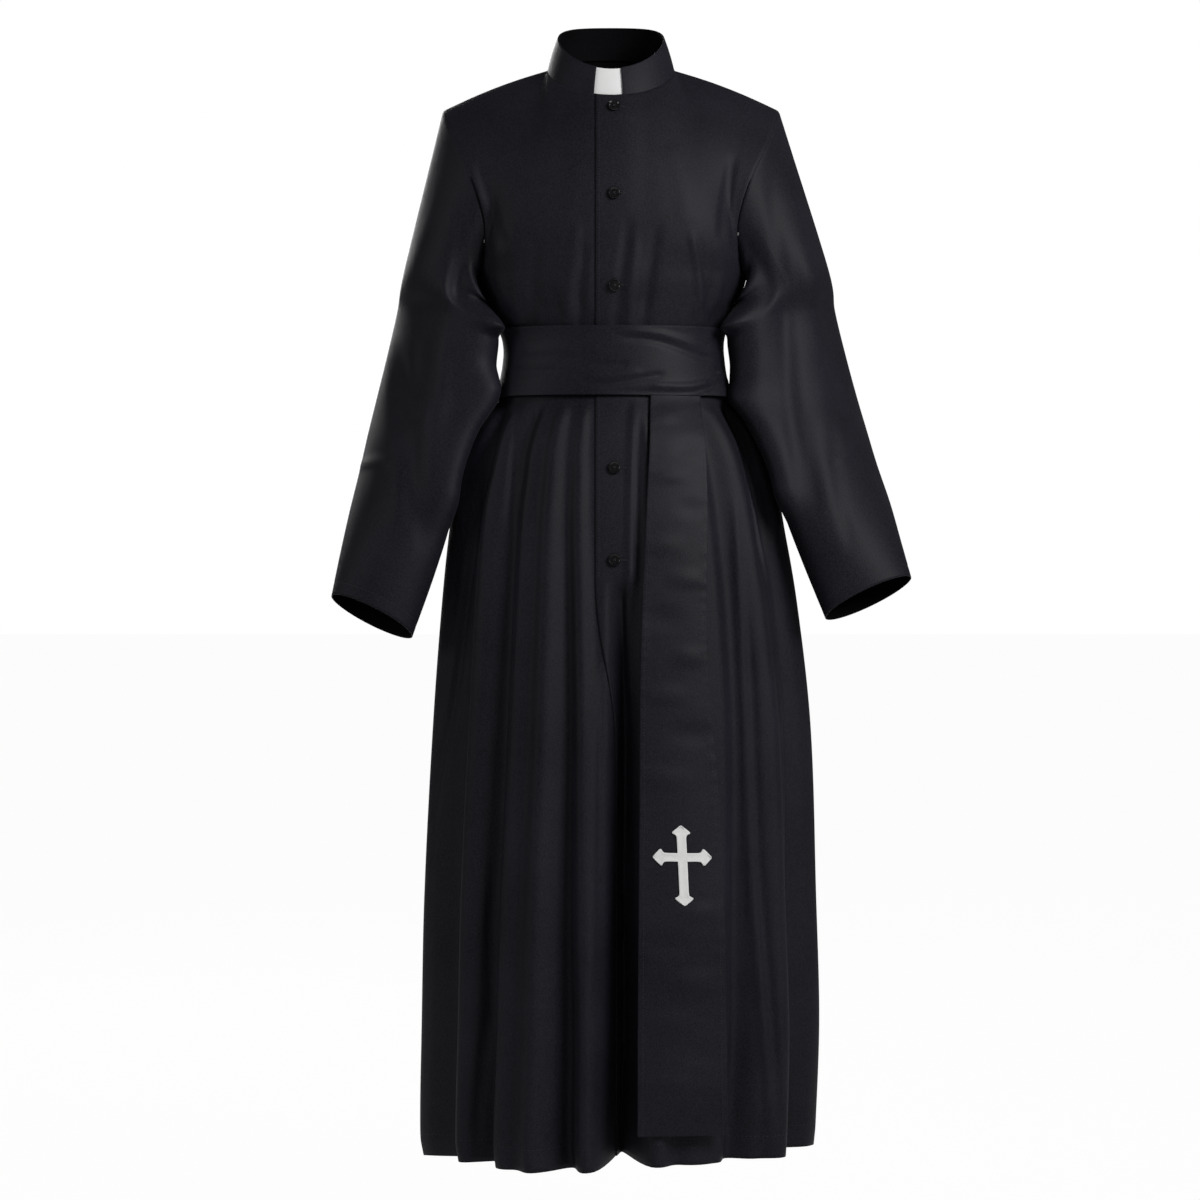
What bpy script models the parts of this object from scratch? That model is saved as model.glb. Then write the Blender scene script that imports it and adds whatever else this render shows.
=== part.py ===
"""Cassock with a band cincture, one hanging tail and a collar with a white tab.

The tables hold millimetres and the meshes are in metres.
+X is the wearer's left, the front faces -Y, +Z is up, and the origin is the neck's centre.
The gown is one smooth surface, read by an angle round the body and a level up it.
The angle is 0 at the centre front, 90 at the wearer's left side and 180 at the centre back.
"""
import math
from collections import namedtuple

import bmesh
import bpy
import numpy as np
from mathutils import Matrix, Vector
from mathutils.bvhtree import BVHTree

MM = 0.001

# Driving sizes
CLOTH = 1.2
SEAM_GAP = 0.3
LAY_GAP = 0.35
ARMPIT_LEVEL = -256.0
NECK_LEVEL = -45.0
HEM_LEVEL = -1304.0
SQUARENESS = 2.2
NECK_ANGLE = 42.0
NECK_CLEARANCE = 0.5

# The neck seam and the collar's rim: half sizes, the middle, the slope to the front, the rise at
# the sides
Ring = namedtuple("Ring", "half_width half_depth centre_y centre_z slope side_rise")
NECK = Ring(77, 67.5, -5, -9.5, 35.5, 8)
RIM = Ring(65, 63, -3, 26.7, 37.3, 11)

# How the patch above the armpits blends, and the lift of the shoulder seam along its middle
TOP_BLEND = 2.5
EVEN_BLEND_FROM = 0.84
SHOULDER_BULGE = 4.0

# Sections of the gown below the armpits
Section = namedtuple("Section", "level half_width front back centre_x")
SECTIONS = (
    Section(-1304, 226, 188, 192, 9.4),
    Section(-1280, 229.5, 187, 190, 8.5),
    Section(-1150, 232.5, 184, 187, 11.5),
    Section(-1000, 231, 178, 182, 11),
    Section(-800, 225.5, 166, 172, 12.5),
    Section(-650, 213.8, 154, 160, 9.5),
    Section(-550, 201, 144, 150, 6),
    Section(-500, 190, 136, 141, 5),
    Section(-475, 183.5, 132, 135, 4),
    Section(-450, 172, 127, 128, 3.5),
    Section(-425, 156, 119, 113, 3),
    Section(-410, 146.5, 113, 103, 3),
    Section(-398, 142.5, 110, 98.5, 3),
    Section(-380, 134.5, 108, 95, 2.5),
    Section(-350, 129.8, 106, 92.5, 2.5),
    Section(-332, 131, 106, 92.5, 2),
    Section(-318, 136, 107.5, 94, 1.5),
    Section(-305, 143.5, 110, 96.5, 0.5),
    Section(-290, 153, 112.5, 99, 0),
    Section(-272, 160, 115.8, 102, 0),
    Section(-256, 165, 117, 104, 0),
)

# The centre lines of front and back above the armpits, by the share of the way up
CentrePoint = namedtuple("CentrePoint", "share y z")
CENTRE_FRONT = (
    CentrePoint(0.0, -117, -256),
    CentrePoint(0.3, -117, -192),
    CentrePoint(0.6, -106, -128),
    CentrePoint(0.85, -88, -74),
    CentrePoint(1.0, -73, -45),
)
CENTRE_BACK = (
    CentrePoint(0.0, 104, -256),
    CentrePoint(0.35, 110, -160),
    CentrePoint(0.7, 98, -60),
    CentrePoint(1.0, 63, 26),
)

# The armhole of the wearer's left side, from the underarm up the front and down the back
ArmholePoint = namedtuple("ArmholePoint", "share x y z")
ARMHOLE = (
    ArmholePoint(0.0, 165, 0, -256),
    ArmholePoint(0.08, 155, -44, -240),
    ArmholePoint(0.2, 152, -70, -196),
    ArmholePoint(0.32, 167, -71, -144),
    ArmholePoint(0.42, 190, -44, -94),
    ArmholePoint(0.5, 205, 2, -50),
    ArmholePoint(0.58, 193, 48, -90),
    ArmholePoint(0.7, 170, 72, -140),
    ArmholePoint(0.82, 158, 74, -196),
    ArmholePoint(0.92, 158, 44, -240),
    ArmholePoint(1.0, 165, 0, -256),
)

# The lift of the hem, by the angle round the body
HemPoint = namedtuple("HemPoint", "angle lift")
HEM_LIFT = (
    HemPoint(-180, 2),
    HemPoint(-110, -6),
    HemPoint(-90, -16),
    HemPoint(-72, -8),
    HemPoint(-50, -1),
    HemPoint(-35, 0),
    HemPoint(-8, 3),
    HemPoint(2, 9),
    HemPoint(30, 7),
    HemPoint(60, 5),
    HemPoint(90, 1),
    HemPoint(120, 4),
    HemPoint(180, 2),
)

LIFT_TOP = -1100.0
LIFT_LENGTH = 200.0

# The folds: ridges have a positive height and valleys a negative one
Fold = namedtuple("Fold", "angle_top angle_foot top foot width_top width_foot height_top height_foot")
FOLDS = (
    # The front of the skirt, from the wearer's right to the left
    Fold(-70, -80, -405, -1304, 8, 12, 3, 12),
    Fold(-54, -62, -405, -1304, 8, 12, -4, -22),
    Fold(-46, -51, -405, -1304, 6, 9, 3, 8),
    Fold(-36, -43, -405, -1304, 6, 7, -6, -24),
    Fold(-29, -33, -405, -1304, 6, 8, 1, 14),
    Fold(-22, -24, -405, -1304, 5, 7, 5, 24),
    Fold(-17, -15, -405, -1304, 3, 5, 1, -14),
    Fold(-13, -9, -405, -1304, 4, 6, 3, 20),
    Fold(1, 1, -615, -1304, 6, 8, -12, -74),
    Fold(11, 10, -405, -1304, 5, 7, 4, 20),
    Fold(20, 21, -405, -1304, 8, 10, 1, 8),
    Fold(37, 36, -405, -1304, 6, 7, -4, -20),
    Fold(46, 50, -405, -1304, 6, 8, 3, 16),
    Fold(61, 63, -405, -1304, 6, 10, -7, -24),
    Fold(74, 78, -405, -1304, 7, 11, 3, 12),
    # The back of the skirt
    Fold(92, 94, -405, -1304, 8, 10, -3, -16),
    Fold(104, 108, -405, -1304, 8, 11, 3, 14),
    Fold(118, 124, -405, -1304, 8, 10, -4, -26),
    Fold(132, 139, -405, -1304, 8, 10, 3, 20),
    Fold(147, 154, -405, -1304, 7, 9, -4, -22),
    Fold(162, 168, -405, -1304, 8, 10, 4, 18),
    Fold(178, 181, -405, -1304, 7, 8, -4, -24),
    Fold(-167, -166, -405, -1304, 7, 9, 4, 20),
    Fold(-152, -150, -405, -1304, 7, 9, -4, -26),
    Fold(-138, -134, -405, -1304, 8, 10, 3, 16),
    Fold(-122, -117, -405, -1304, 8, 10, -4, -22),
    Fold(-106, -101, -405, -1304, 8, 10, 3, 14),
    Fold(-90, -90, -405, -1304, 7, 9, -3, -12),
    # The waist above the cincture
    Fold(-51, -55, -318, -180, 8, 11, 4, 0),
    Fold(-34, -32, -318, -190, 7, 9, -3, 0),
    Fold(-21, -20, -318, -160, 5, 8, 4, 0),
    Fold(-10, -11, -318, -190, 4, 6, 3, 0),
    Fold(15, 16, -318, -200, 6, 8, -3, 0),
    Fold(42, 38, -318, -200, 5, 8, 3, 0),
    Fold(53, 49, -318, -200, 5, 8, 3, 0),
    Fold(118, 124, -318, -170, 9, 12, 4, 0),
    Fold(142, 140, -318, -190, 8, 10, -3, 0),
    Fold(160, 163, -318, -170, 8, 11, 4, 0),
    Fold(-162, -160, -318, -170, 8, 11, 4, 0),
    Fold(-140, -142, -318, -190, 8, 10, -3, 0),
    Fold(-120, -118, -318, -170, 9, 12, 4, 0),
)

FOLD_START = 30.0

# The closing: the columns across the overlap in the placket and in the seam below it
PLACKET_EDGES = (-18.5, -7.0, 4.0, 15.0)
SEAM_EDGES = (3.0, 6.5, 10.0, 13.5)
PLACKET_END = -625.0
PLACKET_FADE = 70.0
LAP_LIFTS = (1.0, 1.0, 1.0, 1.0, 0.5, 0.2)
COLUMNS_TO_NECK = 9
COLUMNS_TO_SIDE = 8
BACK_COLUMNS_TO_NECK = 7
BACK_COLUMNS_TO_SIDE = 8

# The rows above the armpits, as shares of the rise to the neck; the sleeve's seam has them too
UPPER_RISES = (0.08, 0.16, 0.25, 0.335, 0.5, 0.665, 0.83, 1.0)

# The levels of the rows below the armpits
SKIRT_LEVELS = (-1304, -1250, -1160, -1060, -950, -840, -740, -660, -610, -550, -500, -465, -435)
WAIST_LEVELS = (-412, -398, -378, -355, -341, -327, -314, -300, -280)

# The sleeve of the wearer's left side, from the first whole ring down to the cuff
SleeveRing = namedtuple(
    "SleeveRing",
    "outer_x outer_z inner_x inner_z centre_y half_depth lean tilt outer_shift inner_shift shift_z")
SLEEVE_RINGS = (
    SleeveRing(258, -238, 154, -284, 2, 68, 10, 0, 6.7, 1, 0),
    SleeveRing(271, -290, 135, -320, 4, 65, 46, 0, 6.7, 2, 0),
    SleeveRing(283, -342, 140, -360, 2, 63, 46, 0, 7, 2.4, 0),
    SleeveRing(295.5, -394, 142, -402, -4, 61, 44, 0, 7.3, 2.7, 1),
    SleeveRing(306.5, -440, 168, -444, -14, 58, 42, 3, 8, 3.5, 2),
    SleeveRing(316.5, -486, 187, -492, -28, 54, 38, 6, 9, 5, 4),
    SleeveRing(328, -536, 198, -546, -46, 49, 28, 8, 10.5, 7, 6),
    SleeveRing(337, -586, 218, -606, -64, 42, 14, 10, 11, 8, 9),
    SleeveRing(345, -632, 245, -678, -82, 33, 4, 13, 12, 9, 11),
)
SLEEVE_CAP_ROWS = 4
UNDERARM_CLEARANCE = 9.0
CLEAR_FROM = 0.25
CLEAR_FADE = 2.0
SLEEVE_TURN = 0.01
SLEEVE_REACH = 0.05
SLEEVE_ROWS_PER_RING = 1.5
ArmFold = namedtuple("ArmFold", "share_top share_foot ring_top ring_foot width height")
LEFT_ARM_FOLDS = (
    ArmFold(0.08, 0.07, 0.3, 2.35, 0.11, 24),
    ArmFold(0.06, 0.06, 3.5, 7.4, 0.12, 12),
    ArmFold(0.26, 0.14, 0.6, 8.0, 0.07, -6),
    ArmFold(0.34, 0.28, 0.4, 6.0, 0.07, 4),
    ArmFold(0.78, 0.66, 2.0, 7.0, 0.08, -5),
)
RIGHT_ARM_FOLDS = (
    ArmFold(0.08, 0.07, 0.3, 2.35, 0.11, 24),
    ArmFold(0.06, 0.06, 3.0, 7.4, 0.12, 11),
    ArmFold(0.22, 0.24, 0.6, 5.5, 0.07, 5),
    ArmFold(0.42, 0.12, 2.5, 8.0, 0.07, -6),
    ArmFold(0.72, 0.8, 2.0, 7.0, 0.08, -5),
)

# The collar: its top edge stands inside its base
COLLAR_WALL = 2.2
COLLAR_EDGE_LEFT = 14.0
COLLAR_EDGE_RIGHT = -21.0
COLLAR_COLUMNS = 30
COLLAR_ROWS = (0.0, 0.5, 1.0)
COLLAR_BULGE = 0.8
TAB_WALL = 0.9
TAB_REACH = 12.0
TAB_COLUMNS = 8

# The buttons
BUTTON_COUNT = 6
BUTTON_TOP = -60.0
BUTTON_PITCH = 108.0
BUTTON_X = 3.5
BUTTON_RADIUS = 7.5
BUTTON_THICKNESS = 2.6
BUTTON_RIM = 1.6
BUTTON_DISH = 0.8
BUTTON_HOLE = 0.9
BUTTON_HOLE_SPREAD = 1.7
BUTTON_SIDES = 14

# The cincture
BAND_TOP = -314.0
BAND_HEIGHT = 82.0
BAND_DIP = 9.0
BAND_WALL = 1.6
BAND_START = 60.0
BAND_LAP = 20.0
BAND_COLUMNS = 66
BAND_ROWS = 6
BAND_SEAT = 1.15
BAND_BRIDGE = 4.4
BRIDGE_END = 55.0
BRIDGE_FADE = 30.0
BAND_ROLL = 1.2
LAP_RISE = 14.0
TailPoint = namedtuple("TailPoint", "level left right")
TAIL = (
    TailPoint(-396, 45, 102),
    TailPoint(-520, 39, 105),
    TailPoint(-700, 32, 103),
    TailPoint(-900, 30, 115.5),
    TailPoint(-1100, 28, 119.5),
    TailPoint(-1267, 27, 120),
)
TAIL_WALL = 1.6
TAIL_SEAT = 0.8
TAIL_HANG = 2.6
TAIL_HANG_FADE = 60.0
TAIL_PROBES = 12
TAIL_PROBE_STEP = 20.0
BAND_FOOT = BAND_TOP - BAND_HEIGHT - BAND_DIP
TAIL_COLUMNS = 7
TAIL_ROWS = 20

# The cross on the tail, by the distance from its centre along each arm
CROSS_LEVEL = -942.0
CROSS_ACROSS = 0.51
CROSS_WALL = 0.7
CROSS_LEAN = 0.03
CROSS_BAR = 4.8
ArmStation = namedtuple("ArmStation", "share half_width")
CROSS_ARM = (
    ArmStation(0.3, 4.8),
    ArmStation(0.55, 4.8),
    ArmStation(0.72, 6.4),
    ArmStation(0.82, 9.6),
    ArmStation(0.92, 9.0),
    ArmStation(1.0, 4.2),
)
CROSS_REACH = {"up": 36.0, "down": 55.0, "left": 30.5, "right": 30.5}


def clear_scene():
    for item in list(bpy.data.objects):
        bpy.data.objects.remove(item, do_unlink=True)


def material(name, colour, roughness, metallic=0.0):
    made = bpy.data.materials.new(name)
    made.use_nodes = True
    shader = made.node_tree.nodes["Principled BSDF"]
    shader.inputs["Base Color"].default_value = (*colour, 1.0)
    shader.inputs["Roughness"].default_value = roughness
    shader.inputs["Metallic"].default_value = metallic
    return made


def curve(keys, values, at):
    """The value at a place on a smooth curve through the keys."""
    keys = np.asarray(keys, float)
    values = np.asarray(values, float)
    at = min(max(at, keys[0]), keys[-1])
    last = len(keys) - 1
    low = min(int(np.searchsorted(keys, at, side="right")) - 1, last - 1)
    high = low + 1
    before = max(low - 1, 0)
    after = min(high + 1, last)
    step = keys[high] - keys[low]
    share = (at - keys[low]) / step
    slope_low = (values[high] - values[before]) / (keys[high] - keys[before]) * step
    slope_high = (values[after] - values[low]) / (keys[after] - keys[low]) * step
    cube = share ** 3
    square = share ** 2
    return (
        (2 * cube - 3 * square + 1) * values[low]
        + (cube - 2 * square + share) * slope_low
        + (3 * square - 2 * cube) * values[high]
        + (cube - square) * slope_high
    )


def read(rows, key, names, at):
    """The named columns of a table at a place between its rows."""
    keys = [getattr(row, key) for row in rows]
    values = [[getattr(row, name) for name in names] for row in rows]
    return curve(keys, values, at)


def ease(share):
    share = min(max(share, 0.0), 1.0)
    return share * share * (3 - 2 * share)


def mix(first, second, share):
    return first + (second - first) * share


def unit(vector):
    return vector / max(float(np.linalg.norm(vector)), 1e-9)


# The gown's surface


def unit_section(share):
    """A quarter of a squared circle: 0 at its front, 1 at its side."""
    across = math.sin(share * math.pi / 2)
    forward = math.cos(share * math.pi / 2)
    radius = (abs(across) ** SQUARENESS + abs(forward) ** SQUARENESS) ** (-1 / SQUARENESS)
    return radius * across, radius * forward


def section(level):
    return read(SECTIONS, "level", ("half_width", "front", "back", "centre_x"), level)


def ring_point(ring, degrees, clearance=0.0):
    """A place on a tilted ring round the neck, from the front round to the back."""
    turn = math.radians(degrees)
    x = (ring.half_width + clearance) * math.sin(turn)
    y = ring.centre_y - (ring.half_depth + clearance) * math.cos(turn)
    z = ring.centre_z - ring.slope * math.cos(turn) + ring.side_rise * math.sin(turn) ** 2
    return np.array((x, y, z))


def neck_ring(degrees, clearance=0.0):
    return ring_point(NECK, degrees, clearance)


def collar_rim(degrees):
    return ring_point(RIM, degrees)


def armhole(share):
    return read(ARMHOLE, "share", ("x", "y", "z"), share)


def top_edge(front, share):
    """The neck seam and then the shoulder seam, over one quarter of the gown."""
    corner = NECK_ANGLE / 90
    if share <= corner:
        degrees = 90 * share / corner
        return neck_ring(degrees if front else 180 - degrees, NECK_CLEARANCE)
    along = (share - corner) / (1 - corner)
    point = mix(neck_ring(90, NECK_CLEARANCE), armhole(0.5), along)
    point[2] += SHOULDER_BULGE * math.sin(math.pi * along)
    return point


def upper_point(front, share, rise):
    """A patch between centre line, armhole, armpit line and top edge."""
    half_width, front_depth, back_depth, centre_x = section(ARMPIT_LEVEL)
    depth = -front_depth if front else back_depth
    across, forward = unit_section(share)
    foot = np.array((centre_x + half_width * across, depth * forward, ARMPIT_LEVEL))
    top = top_edge(front, share)
    centre_y, centre_z = read(CENTRE_FRONT if front else CENTRE_BACK, "share", ("y", "z"), rise)
    centre = np.array((0.0, centre_y, centre_z))
    side = armhole(0.5 * rise if front else 1 - 0.5 * rise)
    corner_foot_centre = np.array((centre_x, depth, ARMPIT_LEVEL))
    corner_foot_side = armhole(0.0)
    corner_top_centre = top_edge(front, 0.0)
    corner_top_side = armhole(0.5)
    upwards = rise ** mix(TOP_BLEND, 1.0, min((share / EVEN_BLEND_FROM) ** 2, 1.0))
    ruled_up = mix(foot, top, upwards)
    sideways = 1 - math.cos(share * math.pi / 2)
    ruled_across = mix(centre, side, sideways)
    corners = mix(
        mix(corner_foot_centre, corner_foot_side, sideways),
        mix(corner_top_centre, corner_top_side, sideways), upwards)
    return ruled_up + ruled_across - corners


def wrap(angle):
    return (angle + 180) % 360 - 180


def base_point(angle, level):
    """The gown without its folds."""
    angle = wrap(angle)
    side = 1 if angle >= 0 else -1
    front = abs(angle) <= 90
    share = abs(angle) / 90 if front else (180 - abs(angle)) / 90
    if level > ARMPIT_LEVEL:
        rise = (level - ARMPIT_LEVEL) / (NECK_LEVEL - ARMPIT_LEVEL)
        point = upper_point(front, share, min(rise, 1.0))
        point[0] *= side
        return point
    half_width, front_depth, back_depth, centre_x = section(level)
    across, forward = unit_section(share)
    lift = read(HEM_LIFT, "angle", ("lift",), angle)[0] * ease((LIFT_TOP - level) / LIFT_LENGTH)
    depth = -front_depth if front else back_depth
    return np.array((centre_x + side * half_width * across, depth * forward, level + lift))


def fold_height(angle, level):
    height = 0.0
    for fold in FOLDS:
        length = fold.foot - fold.top
        along = (level - fold.top) / length
        if not 0 < along <= 1:
            continue
        centre = mix(fold.angle_top, fold.angle_foot, along)
        width = mix(fold.width_top, fold.width_foot, along)
        away = abs(wrap(angle - centre)) / width
        if away < 1:
            rise = mix(fold.height_top, fold.height_foot, along)
            start = ease(along * abs(length) / FOLD_START)
            height += rise * start * (0.5 + 0.5 * math.cos(math.pi * away))
    return height


def outward(angle, level):
    """The level direction from the gown's axis to its wall."""
    point = base_point(angle, level)
    return unit(np.array((point[0] - section(min(level, ARMPIT_LEVEL))[3], point[1], 0.0)))


def gown_point(angle, level):
    height = fold_height(angle, level)
    point = base_point(angle, level)
    if height:
        point = point + height * outward(angle, level)
    return point


SIDE_ANGLE = 90.0
BACK_START = SIDE_ANGLE + 1e-6
NEARLY = 1e-3
NORMAL_TURN = 0.4
NORMAL_RISE = 2.0


def one_normal(angle, level):
    """Square to the wall of the front or of the back, pointing out of the gown."""
    if abs(wrap(angle)) <= SIDE_ANGLE:
        angle = wrap(angle)
        low, high = -SIDE_ANGLE, SIDE_ANGLE
    else:
        angle = angle % 360
        low, high = BACK_START, 360 - BACK_START
    before = max(angle - NORMAL_TURN, low)
    after = min(angle + NORMAL_TURN, high)
    above = min(level + NORMAL_RISE, NECK_LEVEL)
    below = max(level - NORMAL_RISE, HEM_LEVEL)
    across = gown_point(after, level) - gown_point(before, level)
    up = gown_point(angle, above) - gown_point(angle, below)
    return unit(np.cross(across, up))


def gown_normal(angle, level):
    """The wall's direction, which two pieces share at their seam."""
    size = abs(wrap(angle))
    side = 1 if wrap(angle) > 0 else -1
    at_side = abs(size - SIDE_ANGLE) < NEARLY
    if at_side and level > ARMPIT_LEVEL:
        rise = (level - ARMPIT_LEVEL) / (NECK_LEVEL - ARMPIT_LEVEL)
        share = 0.5 * rise if size <= SIDE_ANGLE else 1 - 0.5 * rise
        return armhole_normals(side, share)[0]
    on_shoulder = level >= NECK_LEVEL and NECK_ANGLE - NEARLY < min(size, 180 - size)
    if at_side or on_shoulder:
        return shared_normal(side, size, level)
    return one_normal(angle, level)


def shared_normal(side, size, level):
    """The middle of the front's and the back's directions, at a side or shoulder seam."""
    front = one_normal(side * min(size, 180 - size), level)
    back = one_normal(side * max(size, 180 - size, BACK_START), level)
    return unit(front + back)


# The sleeves


def sleeve_ring(index, share):
    """A place on one whole ring: 0 is the inner side, 0.25 the front and 0.5 the outer side."""
    ring = SLEEVE_RINGS[index]
    turn = 2 * math.pi * share
    inward = math.cos(turn)
    forward = math.sin(turn)
    x = mix(ring.outer_x, ring.inner_x, 0.5 + 0.5 * inward)
    z = mix(ring.outer_z, ring.inner_z, 0.5 + 0.5 * inward) + ring.tilt * forward
    y = ring.centre_y - ring.half_depth * forward - ring.lean * inward
    return np.array((x, y, z))


def sleeve_base(side, share, place):
    """The sleeve without its folds, by the place along it: 0 is the armhole, 1 the first ring."""
    share = share % 1.0
    points = [armhole(share)] + [sleeve_ring(index, share) for index in range(len(SLEEVE_RINGS))]
    point = curve(range(len(points)), points, place)
    keys = range(len(points))
    outer_shift = curve(keys, [0.0] + [ring.outer_shift for ring in SLEEVE_RINGS], place)
    inner_shift = curve(keys, [0.0] + [ring.inner_shift for ring in SLEEVE_RINGS], place)
    shift_z = curve(keys, [0.0] + [ring.shift_z for ring in SLEEVE_RINGS], place)
    inward = math.cos(2 * math.pi * share)
    beside = max(inward, 0.0) ** 0.5
    near = ease(place / CLEAR_FROM) * (1 - ease((place - 1) / CLEAR_FADE))
    clear = UNDERARM_CLEARANCE * beside * near
    x = side * (point[0] + clear) + mix(outer_shift, inner_shift, 0.5 + 0.5 * inward)
    return np.array((x, point[1], point[2] + side * shift_z))


def sleeve_axis(side, place):
    return 0.5 * (sleeve_base(side, 0.0, place) + sleeve_base(side, 0.5, place))


def arm_fold_height(side, share, place):
    height = 0.0
    for fold in LEFT_ARM_FOLDS if side > 0 else RIGHT_ARM_FOLDS:
        along = (place - fold.ring_top) / (fold.ring_foot - fold.ring_top)
        if not 0 < along < 1:
            continue
        away = abs(share - mix(fold.share_top, fold.share_foot, along)) / fold.width
        if away < 1:
            ends = ease(along / 0.2) * ease((1 - along) / 0.2)
            height += fold.height * ends * (0.5 + 0.5 * math.cos(math.pi * away))
    return height


def sleeve_point(side, share, place):
    point = sleeve_base(side, share, place)
    height = arm_fold_height(side, share % 1.0, place)
    if height:
        point = point + height * unit(point - sleeve_axis(side, place))
    return point


def sleeve_normal(side, share, place):
    """Square to the sleeve's wall, pointing away from its middle."""
    last = len(SLEEVE_RINGS)
    across = (
        sleeve_point(side, share + SLEEVE_TURN, place)
        - sleeve_point(side, share - SLEEVE_TURN, place))
    down = (
        sleeve_point(side, share, min(place + SLEEVE_REACH, last))
        - sleeve_point(side, share, max(place - SLEEVE_REACH, 0.0)))
    normal = unit(np.cross(across, down))
    outer = sleeve_point(side, share, place) - sleeve_axis(side, place)
    return normal if np.dot(normal, outer) > 0 else -normal


# Meshes


def new_object(name, bm, finish, smooth=True):
    mesh = bpy.data.meshes.new(name)
    bmesh.ops.recalc_face_normals(bm, faces=bm.faces)
    bm.to_mesh(mesh)
    bm.free()
    mesh.materials.append(finish)
    if smooth:
        mesh.shade_smooth()
        mesh.set_sharp_from_angle(angle=math.radians(40))
    made = bpy.data.objects.new(name, mesh)
    bpy.context.scene.collection.objects.link(made)
    return made


def grid_place(vert, columns, rows):
    return (
        int(round((vert.co.x + 1) / 2 * (columns - 1))),
        int(round((vert.co.y + 1) / 2 * (rows - 1))))


def wall(name, outer, inner, finish, closed=False):
    """A sheet with a thickness: rows of outer points, and inner points in the same order."""
    rows = len(outer)
    columns = len(outer[0])
    bm = bmesh.new()
    bmesh.ops.create_grid(bm, x_segments=columns - 1, y_segments=rows - 1, size=1.0)
    first = list(bm.verts)
    made = bmesh.ops.extrude_face_region(
        bm, geom=list(bm.faces) + list(bm.edges) + list(bm.verts), use_keep_orig=True)
    second = [item for item in made["geom"] if isinstance(item, bmesh.types.BMVert)]
    places = {}
    for verts, points in ((first, outer), (second, inner)):
        for vert in verts:
            column, row = grid_place(vert, columns, rows)
            places[vert] = (column, points[row][column])
    if closed:
        ends = (0, columns - 1)
        caps = [
            face for face in bm.faces
            if any(all(places[vert][0] == end for vert in face.verts) for end in ends)]
        bmesh.ops.delete(bm, geom=caps, context="FACES_ONLY")
    for vert, (_, point) in places.items():
        vert.co = (point[0] * MM, point[1] * MM, point[2] * MM)
    if closed:
        bmesh.ops.remove_doubles(bm, verts=bm.verts, dist=1e-7)
    return new_object(name, bm, finish)


def pull_in(points, row, column, next_row, next_column, distance):
    """An edge point moved along the cloth, away from its seam."""
    here = points[row][column]
    return here + unit(points[next_row][next_column] - here) * distance


def trim_edge(points, edge, distance=SEAM_GAP / 2):
    rows = len(points)
    columns = len(points[0])
    if edge == "top":
        for column in range(columns):
            points[rows - 1][column] = pull_in(points, rows - 1, column, rows - 2, column, distance)
    if edge == "first":
        for row in range(rows):
            points[row][0] = pull_in(points, row, 0, row, 1, distance)
    if edge == "last":
        for row in range(rows):
            last = columns - 1
            points[row][last] = pull_in(points, row, last, row, last - 1, distance)


def levels():
    upper = [mix(ARMPIT_LEVEL, NECK_LEVEL, rise) for rise in UPPER_RISES]
    return list(SKIRT_LEVELS) + list(WAIST_LEVELS) + [ARMPIT_LEVEL] + upper


def angle_at(x, level):
    """The angle at which the front of the gown, without folds, has this x."""
    half_width, _, _, centre_x = section(min(level, ARMPIT_LEVEL))
    across = min(max((x - centre_x) / half_width, -1.0), 1.0)
    forward = (1 - abs(across) ** SQUARENESS) ** (1 / SQUARENESS)
    return math.degrees(math.atan2(across, forward))


def closing_angles(level):
    """The columns across the overlap, which both fronts share."""
    below = ease((PLACKET_END - level) / PLACKET_FADE)
    edges = [mix(top, foot, below) for top, foot in zip(PLACKET_EDGES, SEAM_EDGES)]
    return [angle_at(x, level) for x in edges]


def spread(start, stop, count):
    return [mix(start, stop, (step + 1) / count) for step in range(count)]


def side_angles(start, to_neck, to_side):
    return spread(start, NECK_ANGLE, to_neck) + spread(NECK_ANGLE, SIDE_ANGLE, to_side)


def left_front_angles(level):
    closing = closing_angles(level)
    return closing + side_angles(closing[-1], COLUMNS_TO_NECK, COLUMNS_TO_SIDE)


def right_front_angles(level):
    closing = closing_angles(level)
    outer = side_angles(-closing[0], COLUMNS_TO_NECK, COLUMNS_TO_SIDE)
    return [-angle for angle in reversed(outer)] + closing


def back_angles(level):
    half = side_angles(0.0, BACK_COLUMNS_TO_NECK, BACK_COLUMNS_TO_SIDE)
    half[-1] = SIDE_ANGLE - 1e-6
    left = [180 - angle for angle in reversed(half)]
    return left + [180.0] + [180 + angle for angle in half]


def panel(name, angles, lifts, finish, seams):
    outer = []
    inner = []
    for level in levels():
        outer_row = []
        inner_row = []
        for column, angle in enumerate(angles(level)):
            normal = gown_normal(angle, level)
            lift = lifts[column] * (CLOTH + LAY_GAP) if column < len(lifts) else 0.0
            point = gown_point(angle, level) + lift * normal
            outer_row.append(point)
            inner_row.append(point - CLOTH * normal)
        outer.append(outer_row)
        inner.append(inner_row)
    for points in (outer, inner):
        for edge in seams:
            trim_edge(points, edge)
    return wall(name, outer, inner, finish)


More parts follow.
